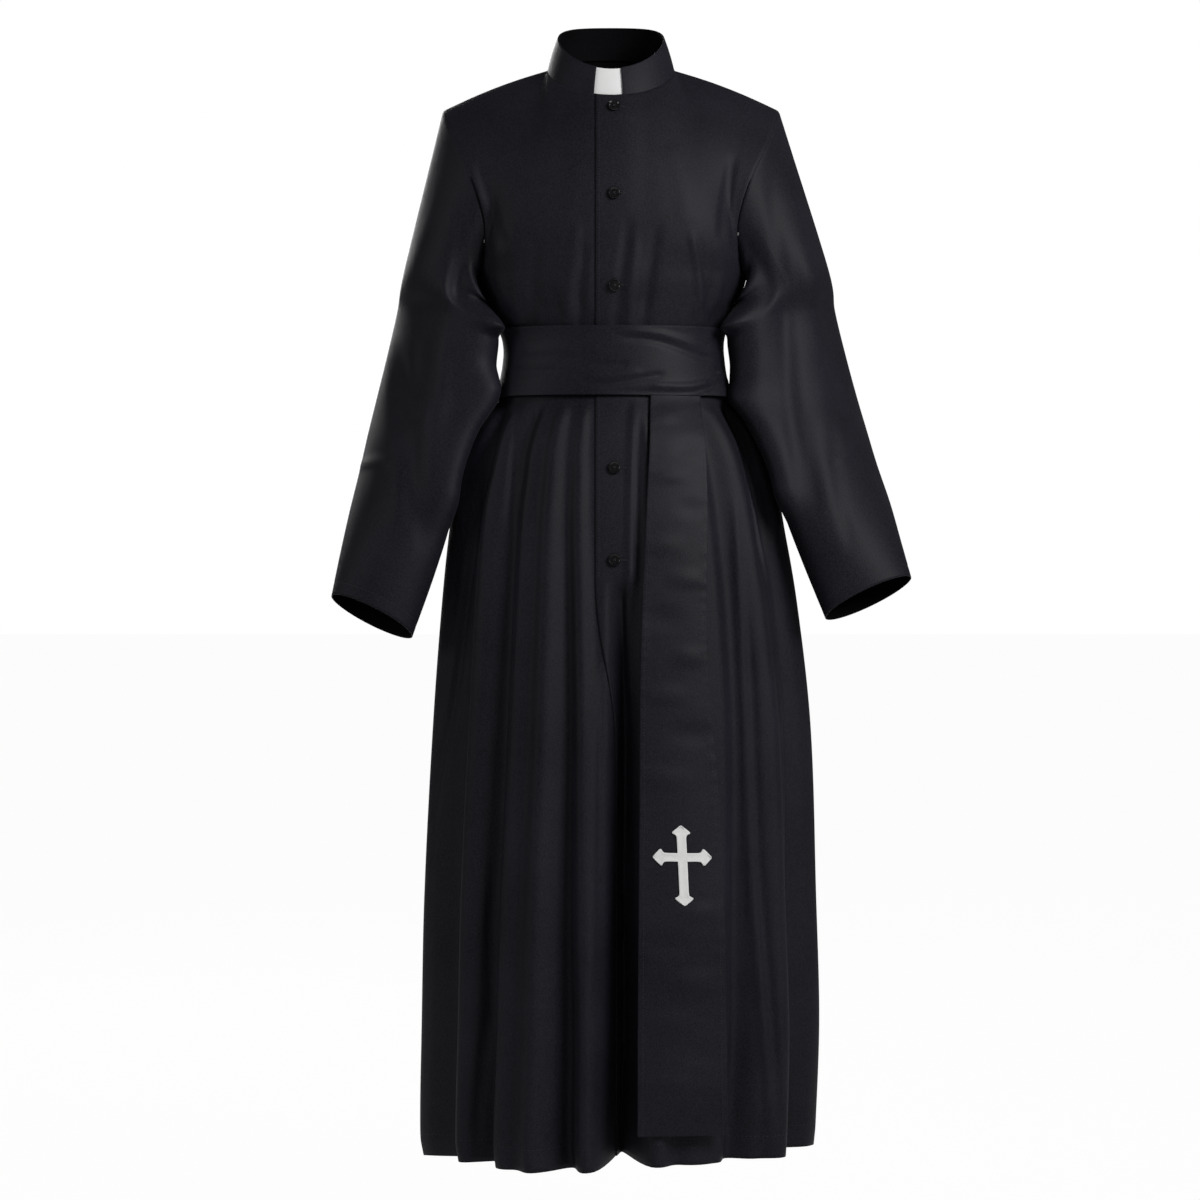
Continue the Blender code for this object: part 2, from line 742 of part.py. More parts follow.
def sleeve(name, side, finish):
    front = [0.5 * rise for rise in UPPER_RISES]
    behind = [1 - share for share in reversed(front[:-1])]
    shares = [0.0] + front + behind + [1.0]
    last = len(SLEEVE_RINGS)
    whole = int(round((last - 1) * SLEEVE_ROWS_PER_RING))
    places = [step / SLEEVE_CAP_ROWS for step in range(SLEEVE_CAP_ROWS)]
    places += [1 + (last - 1) * step / whole for step in range(whole + 1)]
    outer = []
    inner = []
    for place in reversed(places):
        outer_row = []
        inner_row = []
        for share in shares:
            point = sleeve_point(side, share, place)
            normal = sleeve_normal(side, share, place)
            if place == 0:
                gown, normal, shared = armhole_normals(side, share % 1.0)
                point = point + (1 - shared) * LAY_GAP * gown
            outer_row.append(point)
            inner_row.append(point - CLOTH * normal)
        outer.append(outer_row)
        inner.append(inner_row)
    for points in (outer, inner):
        trim_edge(points, "top")
    return wall(name, outer, inner, finish, closed=True)


def armhole_normals(side, share):
    """The gown's and the sleeve's directions at their seam, and how far they are one.

    Over the shoulder both share one direction. Under the arm they hang back to back.
    """
    rise = 2 * share if share <= 0.5 else 2 - 2 * share
    level = mix(ARMPIT_LEVEL, NECK_LEVEL, rise)
    angle = SIDE_ANGLE if share <= 0.5 else BACK_START
    gown = shared_normal(side, angle, level) if share == 0.5 else one_normal(side * angle, level)
    arm = sleeve_normal(side, share, 0.0)
    shared = ease((float(np.dot(gown, arm)) + 0.2) / 0.6)
    return unit(gown + shared * arm), unit(arm + shared * gown), shared


# The small pieces


def ring_angle(x):
    return math.degrees(math.asin(x / NECK.half_width))


def collar_wall(degrees, share, inset):
    """A place on the collar's wall, from its base to its rim."""
    base = neck_ring(degrees)
    rim = collar_rim(degrees)
    point = mix(base, rim, share)
    centre_y = mix(NECK.centre_y, RIM.centre_y, 0.5)
    away = unit(np.array((point[0], point[1] - centre_y, 0.0)))
    bulge = COLLAR_BULGE * math.sin(math.pi * share)
    return point + away * (bulge - inset)


def ring_strip(name, start, stop, columns, shares, inset, thickness, finish):
    outer = []
    inner = []
    for share in shares:
        degrees = [mix(start, stop, column / columns) for column in range(columns + 1)]
        outer.append([collar_wall(angle, share, inset) for angle in degrees])
        inner.append([collar_wall(angle, share, inset + thickness) for angle in degrees])
    return wall(name, outer, inner, finish)


def collar(finish):
    start = ring_angle(COLLAR_EDGE_LEFT)
    stop = 360 + ring_angle(COLLAR_EDGE_RIGHT)
    return ring_strip("collar", start, stop, COLLAR_COLUMNS, COLLAR_ROWS, 0.0, COLLAR_WALL, finish)


def collar_tab(finish):
    start = ring_angle(COLLAR_EDGE_RIGHT - TAB_REACH)
    stop = ring_angle(COLLAR_EDGE_LEFT + TAB_REACH)
    inset = COLLAR_WALL + LAY_GAP
    shares = (0.04, 0.5, 0.98)
    return ring_strip("collar_tab", start, stop, TAB_COLUMNS, shares, inset, TAB_WALL, finish)


def button_mesh(finish):
    """A turned disc with a rim, a dish and four holes."""
    bm = bmesh.new()
    shoulder = BUTTON_RADIUS - BUTTON_RIM / 2
    well = shoulder - BUTTON_RIM
    floor = BUTTON_THICKNESS - BUTTON_DISH
    profile = (
        (0.0, 0.0), (shoulder, 0.0), (BUTTON_RADIUS, BUTTON_THICKNESS / 2),
        (shoulder, BUTTON_THICKNESS), (well, floor), (0.0, floor))
    verts = [bm.verts.new((radius * MM, -height * MM, 0.0)) for radius, height in profile]
    edges = [bm.edges.new(pair) for pair in zip(verts, verts[1:])]
    bmesh.ops.spin(
        bm, geom=verts + edges, cent=(0, 0, 0), axis=(0, 1, 0), angle=2 * math.pi,
        steps=BUTTON_SIDES, use_merge=True)
    bmesh.ops.remove_doubles(bm, verts=bm.verts, dist=1e-6)
    disc = new_object("button_blank", bm, finish)
    holes = bmesh.new()
    for x in (-1, 1):
        for z in (-1, 1):
            made = bmesh.ops.create_cone(
                holes, cap_ends=True, segments=6, radius1=BUTTON_HOLE * MM,
                radius2=BUTTON_HOLE * MM, depth=4 * BUTTON_THICKNESS * MM)
            bmesh.ops.rotate(
                holes, verts=made["verts"], cent=(0, 0, 0),
                matrix=Matrix.Rotation(math.pi / 2, 3, "X"))
            bmesh.ops.translate(
                holes, verts=made["verts"],
                vec=(x * BUTTON_HOLE_SPREAD * MM, 0, z * BUTTON_HOLE_SPREAD * MM))
    cutter = new_object("button_holes", holes, finish)
    cutter.hide_render = True
    cutter.display_type = "WIRE"
    cut = disc.modifiers.new("holes", "BOOLEAN")
    cut.operation = "DIFFERENCE"
    cut.object = cutter
    graph = bpy.context.evaluated_depsgraph_get()
    mesh = bpy.data.meshes.new_from_object(disc.evaluated_get(graph))
    mesh.name = "button"
    for item in (disc, cutter):
        bpy.data.objects.remove(item, do_unlink=True)
    return mesh


def buttons(finish, front):
    """One mesh, laid on the overlap at each buttonhole."""
    mesh = button_mesh(finish)
    cloth = bmesh.new()
    cloth.from_mesh(front.data)
    tree = BVHTree.FromBMesh(cloth)
    cloth.free()
    for index in range(BUTTON_COUNT):
        height = BUTTON_TOP - BUTTON_PITCH * index
        start = Vector((BUTTON_X * MM, -1.0, height * MM))
        place, normal, _, _ = tree.ray_cast(start, Vector((0.0, 1.0, 0.0)))
        made = bpy.data.objects.new(f"button_{index + 1}", mesh)
        bpy.context.scene.collection.objects.link(made)
        made.location = place + normal * LAY_GAP * MM
        made.rotation_euler = Vector((0.0, -1.0, 0.0)).rotation_difference(normal).to_euler()


# The cincture


def waist_point(angle, level, height):
    """Out from the gown without its folds."""
    return base_point(angle, level) + height * outward(angle, level)


def band_seat(angle):
    """The band lies on the sides and bridges the front, over the tail's top and a button."""
    size = abs(wrap(angle))
    bridge = 1 - ease((size - BRIDGE_END) / BRIDGE_FADE)
    return BAND_SEAT + BAND_BRIDGE * bridge


def band_place(running, share):
    """The angle round the waist, the level and the outer height of the band."""
    dip = BAND_DIP * (0.5 + 0.5 * math.cos(math.radians(running)))
    level = BAND_TOP - dip - BAND_HEIGHT * share
    lap_start = BAND_START + 360
    lap = (BAND_WALL + LAY_GAP) * ease((running - lap_start + LAP_RISE) / LAP_RISE)
    roll = BAND_ROLL * math.sin(math.pi * share)
    return level, band_seat(running) + lap + roll


def cincture_band(finish):
    outer = []
    inner = []
    stop = BAND_START + 360 + BAND_LAP
    for row in range(BAND_ROWS):
        share = 1 - row / (BAND_ROWS - 1)
        outer_row = []
        inner_row = []
        for column in range(BAND_COLUMNS + 1):
            running = mix(BAND_START, stop, column / BAND_COLUMNS)
            level, height = band_place(running, share)
            inner_row.append(waist_point(running, level, height))
            outer_row.append(waist_point(running, level, height + BAND_WALL))
        outer.append(outer_row)
        inner.append(inner_row)
    return wall("cincture_band", outer, inner, finish)


def tail_edges(level):
    return read(TAIL[::-1], "level", ("left", "right"), level)


def tail_height(level):
    """The tail hangs clear of the folds behind it."""
    left, right = tail_edges(level)
    start = angle_at(left, level)
    stop = angle_at(right, level)
    probes = [mix(start, stop, step / TAIL_PROBES) for step in range(TAIL_PROBES + 1)]
    heights = [fold_height(angle, level) for angle in probes]
    hang = ease((BAND_FOOT - level) / TAIL_HANG_FADE)
    return max(max(heights), 0.0) + mix(TAIL_SEAT, TAIL_HANG, hang)


def tail_point(across, level):
    left, right = tail_edges(level)
    angle = angle_at(mix(left, right, across), level)
    smooth = sum(tail_height(level + step * TAIL_PROBE_STEP) for step in (-1, 0, 1)) / 3
    height = max(smooth, tail_height(level))
    return waist_point(angle, level, height), outward(angle, level)


def cincture_tail(finish):
    outer = []
    inner = []
    top = TAIL[0].level
    foot = TAIL[-1].level
    for row in range(TAIL_ROWS + 1):
        level = mix(foot, top, row / TAIL_ROWS)
        places = [tail_point(column / TAIL_COLUMNS, level) for column in range(TAIL_COLUMNS + 1)]
        inner.append([point for point, _ in places])
        outer.append([point + direction * TAIL_WALL for point, direction in places])
    return wall("cincture_tail", outer, inner, finish)


def cross_point(x, z, height):
    """A place on the tail, by the distance from the middle of the cross."""
    level = CROSS_LEVEL + z - CROSS_LEAN * x
    left, right = tail_edges(level)
    across = CROSS_ACROSS + (x - CROSS_LEAN * z) / (right - left)
    point, direction = tail_point(across, level)
    return (point + direction * (TAIL_WALL + height)) * MM


def cross_applique(finish):
    """A square middle with four flared arms, laid on the tail."""
    bm = bmesh.new()
    turns = {"right": (1, 0), "up": (0, 1), "left": (-1, 0), "down": (0, -1)}
    flat = {}

    def corner(x, z):
        key = (round(x, 3), round(z, 3))
        if key not in flat:
            flat[key] = bm.verts.new((x, 0.0, z))
        return flat[key]

    for name, (east, north) in turns.items():
        reach = CROSS_REACH[name]
        stations = [(CROSS_BAR, CROSS_BAR)]
        stations += [(reach * station.share, station.half_width) for station in CROSS_ARM]
        for (near, near_half), (far, far_half) in zip(stations, stations[1:]):
            for side in (-1, 1):
                corners = ((near, 0), (near, side * near_half), (far, side * far_half), (far, 0))
                bm.faces.new([
                    corner(along * east - wide * north, along * north + wide * east)
                    for along, wide in corners])
    middle = [
        corner(0, 0), corner(CROSS_BAR, 0), corner(CROSS_BAR, CROSS_BAR), corner(0, CROSS_BAR),
        corner(-CROSS_BAR, CROSS_BAR), corner(-CROSS_BAR, 0), corner(-CROSS_BAR, -CROSS_BAR),
        corner(0, -CROSS_BAR), corner(CROSS_BAR, -CROSS_BAR)]
    for first, second, third in ((1, 2, 3), (3, 4, 5), (5, 6, 7), (7, 8, 1)):
        bm.faces.new([middle[0], middle[first], middle[second], middle[third]])
    bmesh.ops.recalc_face_normals(bm, faces=bm.faces)
    front = list(bm.verts)
    made = bmesh.ops.extrude_face_region(
        bm, geom=list(bm.faces) + list(bm.edges) + front, use_keep_orig=True)
    behind = [item for item in made["geom"] if isinstance(item, bmesh.types.BMVert)]
    for verts, height in ((front, LAY_GAP + CROSS_WALL), (behind, LAY_GAP)):
        for vert in verts:
            vert.co = cross_point(vert.co.x, vert.co.z, height)
    return new_object("cross_applique", bm, finish, smooth=False)


def build():
    clear_scene()
    cloth = material("black_cloth", (0.012, 0.012, 0.014), 0.6)
    sash = material("black_satin", (0.010, 0.010, 0.012), 0.45)
    white = material("white_band", (0.85, 0.85, 0.85), 0.4)
    emblem = material("white_cloth", (0.85, 0.85, 0.84), 0.6)
    gloss = material("black_button", (0.008, 0.008, 0.009), 0.15)
    panel("front_right", right_front_angles, (), cloth, ("top", "first"))
    front = panel("front_left", left_front_angles, LAP_LIFTS, cloth, ("top", "last"))
    panel("back", back_angles, (), cloth, ("top", "first", "last"))
    sleeve("sleeve_left", 1, cloth)
    sleeve("sleeve_right", -1, cloth)
    collar(cloth)
    collar_tab(white)
    buttons(gloss, front)
    cincture_band(sash)
    cincture_tail(sash)
    cross_applique(emblem)


build()
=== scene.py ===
# %% [markdown]
# # A cassock, worn by nobody
#
# This lesson dresses a long black gown: two fronts that lap over each other, a back, two sleeves,
# a standing collar with a white tab, six buttons, and a sash whose tail carries a white cross.
# Its plain solids are loaded first and stay where they are. Every main piece made here takes the
# place of one of them, on the same form, with the folds, hems and stitches that cloth has close to.

# %% Load the frame
import math
from collections import namedtuple

import bmesh
import bpy
import numpy as np
from mathutils import Matrix, Vector


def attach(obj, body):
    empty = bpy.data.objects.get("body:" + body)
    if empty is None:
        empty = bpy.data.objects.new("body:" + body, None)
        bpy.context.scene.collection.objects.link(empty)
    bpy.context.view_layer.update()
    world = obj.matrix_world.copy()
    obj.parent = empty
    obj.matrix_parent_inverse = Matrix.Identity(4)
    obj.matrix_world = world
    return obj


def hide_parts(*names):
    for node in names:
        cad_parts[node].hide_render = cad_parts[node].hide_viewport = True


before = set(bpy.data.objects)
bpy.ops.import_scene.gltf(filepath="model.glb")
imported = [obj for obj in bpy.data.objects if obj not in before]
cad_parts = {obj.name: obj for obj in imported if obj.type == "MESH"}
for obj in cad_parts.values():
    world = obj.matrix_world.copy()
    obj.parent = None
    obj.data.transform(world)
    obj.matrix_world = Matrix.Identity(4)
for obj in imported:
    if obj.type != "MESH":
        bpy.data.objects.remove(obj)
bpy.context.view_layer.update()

# %% [markdown]
# ## A curve through a table
#
# A garment is drawn as a few sections and what lies between them. The real pattern is drafted the
# same way: a handful of measures down the body, joined by a smooth line. Here each measure is a
# column of a short table, and one function reads it at any height with a smooth curve. It works on
# whole arrays at once, because a finely woven surface has tens of thousands of points.

# %% Read a table on a smooth curve
MM = 0.001


def curve(keys, values, at):
    """The values at many places on a smooth line through the keys."""
    keys = np.asarray(keys, float)
    values = np.asarray(values, float)
    at = np.clip(np.asarray(at, float), keys[0], keys[-1])
    last = len(keys) - 1
    low = np.clip(np.searchsorted(keys, at, side="right") - 1, 0, last - 1)
    high = low + 1
    before = np.maximum(low - 1, 0)
    after = np.minimum(high + 1, last)
    step = keys[high] - keys[low]
    more = (...,) + (None,) * (values.ndim - 1)
    share = ((at - keys[low]) / step)[more]
    slope_low = (values[high] - values[before]) * (step / (keys[high] - keys[before]))[more]
    slope_high = (values[after] - values[low]) * (step / (keys[after] - keys[low]))[more]
    cube = share ** 3
    square = share ** 2
    return (
        (2 * cube - 3 * square + 1) * values[low] + (cube - 2 * square + share) * slope_low
        + (3 * square - 2 * cube) * values[high] + (cube - square) * slope_high
    )


def read(rows, key, name, at):
    """One named column of a table, at many places."""
    rows = sorted(rows, key=lambda row: getattr(row, key))
    return curve([getattr(row, key) for row in rows], [getattr(row, name) for row in rows], at)


def ease(share):
    share = np.clip(share, 0.0, 1.0)
    return share * share * (3 - 2 * share)


def mix(first, second, share):
    return first + (second - first) * share


def stack(x, y, z):
    return np.stack(np.broadcast_arrays(x, y, z), axis=-1).astype(float)


def unit(vectors):
    return vectors / np.maximum(np.linalg.norm(vectors, axis=-1, keepdims=True), 1e-9)


# %% [markdown]
# ## The gown's form
#
# Below the armpits the gown is a stack of squared circles. The skirt stands out under the waist
# because its cloth is gathered there, and it hangs nearly straight from the hips. Sizes are in
# millimetres, and the levels run down from the neck.

# %% The sections below the armpits
ARMPIT_LEVEL = -256.0
NECK_LEVEL = -45.0
HEM_LEVEL = -1304.0
SQUARENESS = 2.2
NECK_ANGLE = 42.0
NECK_CLEARANCE = 0.5
TOP_BLEND = 2.5
EVEN_BLEND_FROM = 0.84
SHOULDER_BULGE = 4.0
CORNER_REACH = 0.42
CORNER_COUNT = 6
CORNER_STEPS = [
    (step / CORNER_COUNT, 1 - abs(step) / (CORNER_COUNT + 1))
    for step in range(-CORNER_COUNT, CORNER_COUNT + 1)]
Section = namedtuple("Section", "level half_width front back centre_x")
SECTIONS = (
    Section(-1304, 226, 188, 192, 9.4),
    Section(-1280, 229.5, 187, 190, 8.5),
    Section(-1150, 232.5, 184, 187, 11.5),
    Section(-1000, 231, 178, 182, 11),
    Section(-800, 225.5, 166, 172, 12.5),
    Section(-650, 213.8, 154, 160, 9.5),
    Section(-550, 201, 144, 150, 6),
    Section(-500, 190, 136, 141, 5),
    Section(-475, 183.5, 132, 135, 4),
    Section(-450, 172, 127, 128, 3.5),
    Section(-425, 156, 119, 113, 3),
    Section(-410, 146.5, 113, 103, 3),
    Section(-398, 142.5, 110, 98.5, 3),
    Section(-380, 134.5, 108, 95, 2.5),
    Section(-350, 129.8, 106, 92.5, 2.5),
    Section(-332, 131, 106, 92.5, 2),
    Section(-318, 136, 107.5, 94, 1.5),
    Section(-305, 143.5, 110, 96.5, 0.5),
    Section(-290, 153, 112.5, 99, 0),
    Section(-272, 160, 115.8, 102, 0),
    Section(-256, 165, 117, 104, 0),
)
WAIST_LEVEL = -350.0
waist = read(SECTIONS, "level", "half_width", WAIST_LEVEL)
print("waist about", round(2 * float(waist)), "mm wide")

# %% [markdown]
# Above the armpits the shape is a patch between four lines: the centre line, the armhole, the
# armpit line, and the neck and shoulder seams. A pattern cutter draws the same four lines on paper.

# %% The lines above the armpits
CentrePoint = namedtuple("CentrePoint", "share y z")
CENTRE_FRONT = (
    CentrePoint(0.0, -117, -256),
    CentrePoint(0.3, -117, -192),
    CentrePoint(0.6, -106, -128),
    CentrePoint(0.85, -88, -74),
    CentrePoint(1.0, -73, -45),
)
CENTRE_BACK = (
    CentrePoint(0.0, 104, -256),
    CentrePoint(0.35, 110, -160),
    CentrePoint(0.7, 98, -60),
    CentrePoint(1.0, 63, 26),
)
ArmholePoint = namedtuple("ArmholePoint", "share x y z")
ARMHOLE = (
    ArmholePoint(0.0, 165, 0, -256),
    ArmholePoint(0.08, 155, -44, -240),
    ArmholePoint(0.2, 152, -70, -196),
    ArmholePoint(0.32, 167, -71, -144),
    ArmholePoint(0.42, 190, -44, -94),
    ArmholePoint(0.5, 205, 2, -50),
    ArmholePoint(0.58, 193, 48, -90),
    ArmholePoint(0.7, 170, 72, -140),
    ArmholePoint(0.82, 158, 74, -196),
    ArmholePoint(0.92, 158, 44, -240),
    ArmholePoint(1.0, 165, 0, -256),
)
HemPoint = namedtuple("HemPoint", "angle lift")
HEM_LIFT = (
    HemPoint(-180, 2),
    HemPoint(-110, -6),
    HemPoint(-90, -16),
    HemPoint(-72, -8),
    HemPoint(-50, -1),
    HemPoint(-35, 0),
    HemPoint(-8, 3),
    HemPoint(2, 9),
    HemPoint(30, 7),
    HemPoint(60, 5),
    HemPoint(90, 1),
    HemPoint(120, 4),
    HemPoint(180, 2),
)
LIFT_TOP = -1100.0
LIFT_LENGTH = 200.0
Ring = namedtuple("Ring", "half_width half_depth centre_y centre_z slope side_rise")
NECK = Ring(77, 67.5, -5, -9.5, 35.5, 8)


def armhole(share):
    return stack(*(read(ARMHOLE, "share", axis, share) for axis in "xyz"))


def ring_point(ring, degrees, clearance=0.0):
    """A place on a tilted ring round the neck, from the front round to the back."""
    turn = np.radians(degrees)
    x = (ring.half_width + clearance) * np.sin(turn)
    y = ring.centre_y - (ring.half_depth + clearance) * np.cos(turn)
    z = ring.centre_z - ring.slope * np.cos(turn) + ring.side_rise * np.sin(turn) ** 2
    return stack(x, y, z)


def neck_ring(degrees, clearance=0.0):
    return ring_point(NECK, degrees, clearance)


rim = armhole(np.linspace(0, 1, 200))
around = np.linalg.norm(np.diff(rim, axis=0), axis=1).sum()
print("armhole", round(float(around)), "mm round")

# %% [markdown]
# The whole gown is then one function of an angle round the body and a level up it. Nothing in it
# is a list of points: the sections, the patch and the folds are worked out each time.


# %% One surface for the whole gown
def unit_section(share):
    """A quarter of a squared circle: 0 at its front, 1 at its side."""
    across = np.sin(share * np.pi / 2)
    forward = np.cos(share * np.pi / 2)
    radius = (np.abs(across) ** SQUARENESS + np.abs(forward) ** SQUARENESS) ** (-1 / SQUARENESS)
    return radius * across, radius * forward


def wrap(angle):
    return (angle + 180) % 360 - 180


def top_edge(front, share):
    """The neck seam and then the shoulder seam, over one quarter of the gown."""
    corner = NECK_ANGLE / 90
    degrees = 90 * np.minimum(share, corner) / corner
    neck = neck_ring(np.where(front, degrees, 180 - degrees), NECK_CLEARANCE)
    along = np.clip((share - corner) / (1 - corner), 0, 1)
    shoulder = mix(neck_ring(90, NECK_CLEARANCE), armhole(0.5), along[..., None])
    shoulder[..., 2] += SHOULDER_BULGE * np.sin(np.pi * along)
    return np.where((share <= corner)[..., None], neck, shoulder)


def soft_top_edge(front, share, rise):
    """The top edge, with its corner at the neck smoothed out further down the cloth."""
    reach = 4 * CORNER_REACH * (1 - rise) * share * (1 - share)
    total = 0.0
    for step, weight in CORNER_STEPS:
        total = total + weight * top_edge(front, share + step * reach)
    return total / sum(weight for _, weight in CORNER_STEPS)


def upper_point(front, share, rise):
    """A patch between centre line, armhole, armpit line and top edge."""
    half_width = SECTIONS[-1].half_width
    depth = np.where(front, -SECTIONS[-1].front, SECTIONS[-1].back)
    across, forward = unit_section(share)
    foot = stack(half_width * across, depth * forward, ARMPIT_LEVEL)
    centre_y = np.where(
        front, read(CENTRE_FRONT, "share", "y", rise), read(CENTRE_BACK, "share", "y", rise))
    centre_z = np.where(
        front, read(CENTRE_FRONT, "share", "z", rise), read(CENTRE_BACK, "share", "z", rise))
    centre = stack(0.0, centre_y, centre_z)
    side = armhole(np.where(front, 0.5 * rise, 1 - 0.5 * rise))
    sideways = (1 - np.cos(share * np.pi / 2))[..., None]
    evened = np.minimum((share / EVEN_BLEND_FROM) ** 2, 1.0)
    up = (rise ** mix(TOP_BLEND, 1.0, evened))[..., None]
    foot_corners = mix(stack(0.0, depth, ARMPIT_LEVEL), armhole(0.0), sideways)
    top_corners = mix(top_edge(front, np.zeros_like(share)), armhole(0.5), sideways)
    ruled_up = mix(foot, soft_top_edge(front, share, rise), up)
    ruled_across = mix(centre, side, sideways)
    return ruled_up + ruled_across - mix(foot_corners, top_corners, up)


def base_point(angle, level, front):
    """The gown without its folds."""
    side = np.where(angle >= 0, 1.0, -1.0)
    size = np.abs(angle)
    share = np.clip(np.where(front, size / 90, (180 - size) / 90), 0, 1)
    rise = np.clip((level - ARMPIT_LEVEL) / (NECK_LEVEL - ARMPIT_LEVEL), 0, 1)
    upper = upper_point(front, share, rise)
    upper[..., 0] *= side
    across, forward = unit_section(share)
    half_width = read(SECTIONS, "level", "half_width", level)
    depth = np.where(
        front, -read(SECTIONS, "level", "front", level), read(SECTIONS, "level", "back", level))
    centre_x = read(SECTIONS, "level", "centre_x", level)
    lift = read(HEM_LIFT, "angle", "lift", angle) * ease((LIFT_TOP - level) / LIFT_LENGTH)
    lower = stack(centre_x + side * half_width * across, depth * forward, level + lift)
    return np.where((level > ARMPIT_LEVEL)[..., None], upper, lower)


def outward(angle, level, front):
    """The level direction from the gown's axis to its wall."""
    point = base_point(angle, level, front)
    point[..., 0] -= read(SECTIONS, "level", "centre_x", np.minimum(level, ARMPIT_LEVEL))
    point[..., 2] = 0.0
    return unit(point)


probe = base_point(np.array([0.0, 90.0, -90.0]), np.full(3, -800.0), np.full(3, True))
print("skirt at -800:", np.round(probe).tolist())

# %% [markdown]
# ## The folds
#
# Gathered cloth falls in folds that start narrow at the waist and open towards the hem. Each row of
# the next table is one of them: where it starts and ends round the body, how wide it is, and how far
# it stands out, or sinks when the height is negative. They belong to the solids too, so both have
# the same form.

# %% The large folds
Fold = namedtuple("Fold", "angle_top angle_foot top foot width_top width_foot height_top height_foot")
FOLDS = (
    # the front of the skirt, from the wearer's right to the left
    Fold(-70, -80, -405, -1304, 8, 12, 3, 12),
    Fold(-54, -62, -405, -1304, 8, 12, -4, -22),
    Fold(-46, -51, -405, -1304, 6, 9, 3, 8),
    Fold(-36, -43, -405, -1304, 6, 7, -6, -24),
    Fold(-29, -33, -405, -1304, 6, 8, 1, 14),
    Fold(-22, -24, -405, -1304, 5, 7, 5, 24),
    Fold(-17, -15, -405, -1304, 3, 5, 1, -14),
    Fold(-13, -9, -405, -1304, 4, 6, 3, 20),
    Fold(1, 1, -615, -1304, 6, 8, -12, -74),
    Fold(11, 10, -405, -1304, 5, 7, 4, 20),
    Fold(20, 21, -405, -1304, 8, 10, 1, 8),
    Fold(37, 36, -405, -1304, 6, 7, -4, -20),
    Fold(46, 50, -405, -1304, 6, 8, 3, 16),
    Fold(61, 63, -405, -1304, 6, 10, -7, -24),
    Fold(74, 78, -405, -1304, 7, 11, 3, 12),
    # the back of the skirt
    Fold(92, 94, -405, -1304, 8, 10, -3, -16),
    Fold(104, 108, -405, -1304, 8, 11, 3, 14),
    Fold(118, 124, -405, -1304, 8, 10, -4, -26),
    Fold(132, 139, -405, -1304, 8, 10, 3, 20),
    Fold(147, 154, -405, -1304, 7, 9, -4, -22),
    Fold(162, 168, -405, -1304, 8, 10, 4, 18),
    Fold(178, 181, -405, -1304, 7, 8, -4, -24),
    Fold(-167, -166, -405, -1304, 7, 9, 4, 20),
    Fold(-152, -150, -405, -1304, 7, 9, -4, -26),
    Fold(-138, -134, -405, -1304, 8, 10, 3, 16),
    Fold(-122, -117, -405, -1304, 8, 10, -4, -22),
    Fold(-106, -101, -405, -1304, 8, 10, 3, 14),
    Fold(-90, -90, -405, -1304, 7, 9, -3, -12),
    # the waist above the sash
    Fold(-51, -55, -318, -180, 8, 11, 4, 0),
    Fold(-34, -32, -318, -190, 7, 9, -3, 0),
    Fold(-21, -20, -318, -160, 5, 8, 4, 0),
    Fold(-10, -11, -318, -190, 4, 6, 3, 0),
    Fold(15, 16, -318, -200, 6, 8, -3, 0),
    Fold(42, 38, -318, -200, 5, 8, 3, 0),
    Fold(53, 49, -318, -200, 5, 8, 3, 0),
    Fold(118, 124, -318, -170, 9, 12, 4, 0),
    Fold(142, 140, -318, -190, 8, 10, -3, 0),
    Fold(160, 163, -318, -170, 8, 11, 4, 0),
    Fold(-162, -160, -318, -170, 8, 11, 4, 0),
    Fold(-140, -142, -318, -190, 8, 10, -3, 0),
    Fold(-120, -118, -318, -170, 9, 12, 4, 0),
)
FOLD_START = 30.0


def hump(away):
    """A soft ridge: 1 on its line, 0 from its edge on."""
    return np.where(np.abs(away) < 1, 0.5 + 0.5 * np.cos(np.pi * np.clip(away, -1, 1)), 0.0)


def fold_height(angle, level):
    height = np.zeros(np.broadcast(angle, level).shape)
    for fold in FOLDS:
        length = fold.foot - fold.top
        along = (level - fold.top) / length
        centre = mix(fold.angle_top, fold.angle_foot, along)
        width = mix(fold.width_top, fold.width_foot, np.clip(along, 0, 1))
        rise = mix(fold.height_top, fold.height_foot, along) * ease(along * abs(length) / FOLD_START)
        height += np.where((along > 0) & (along <= 1), rise * hump(wrap(angle - centre) / width), 0.0)
    return height


def gown_point(angle, level, front):
    point = base_point(angle, level, front)
    return point + fold_height(angle, level)[..., None] * outward(angle, level, front)


print("large folds:", len(FOLDS))
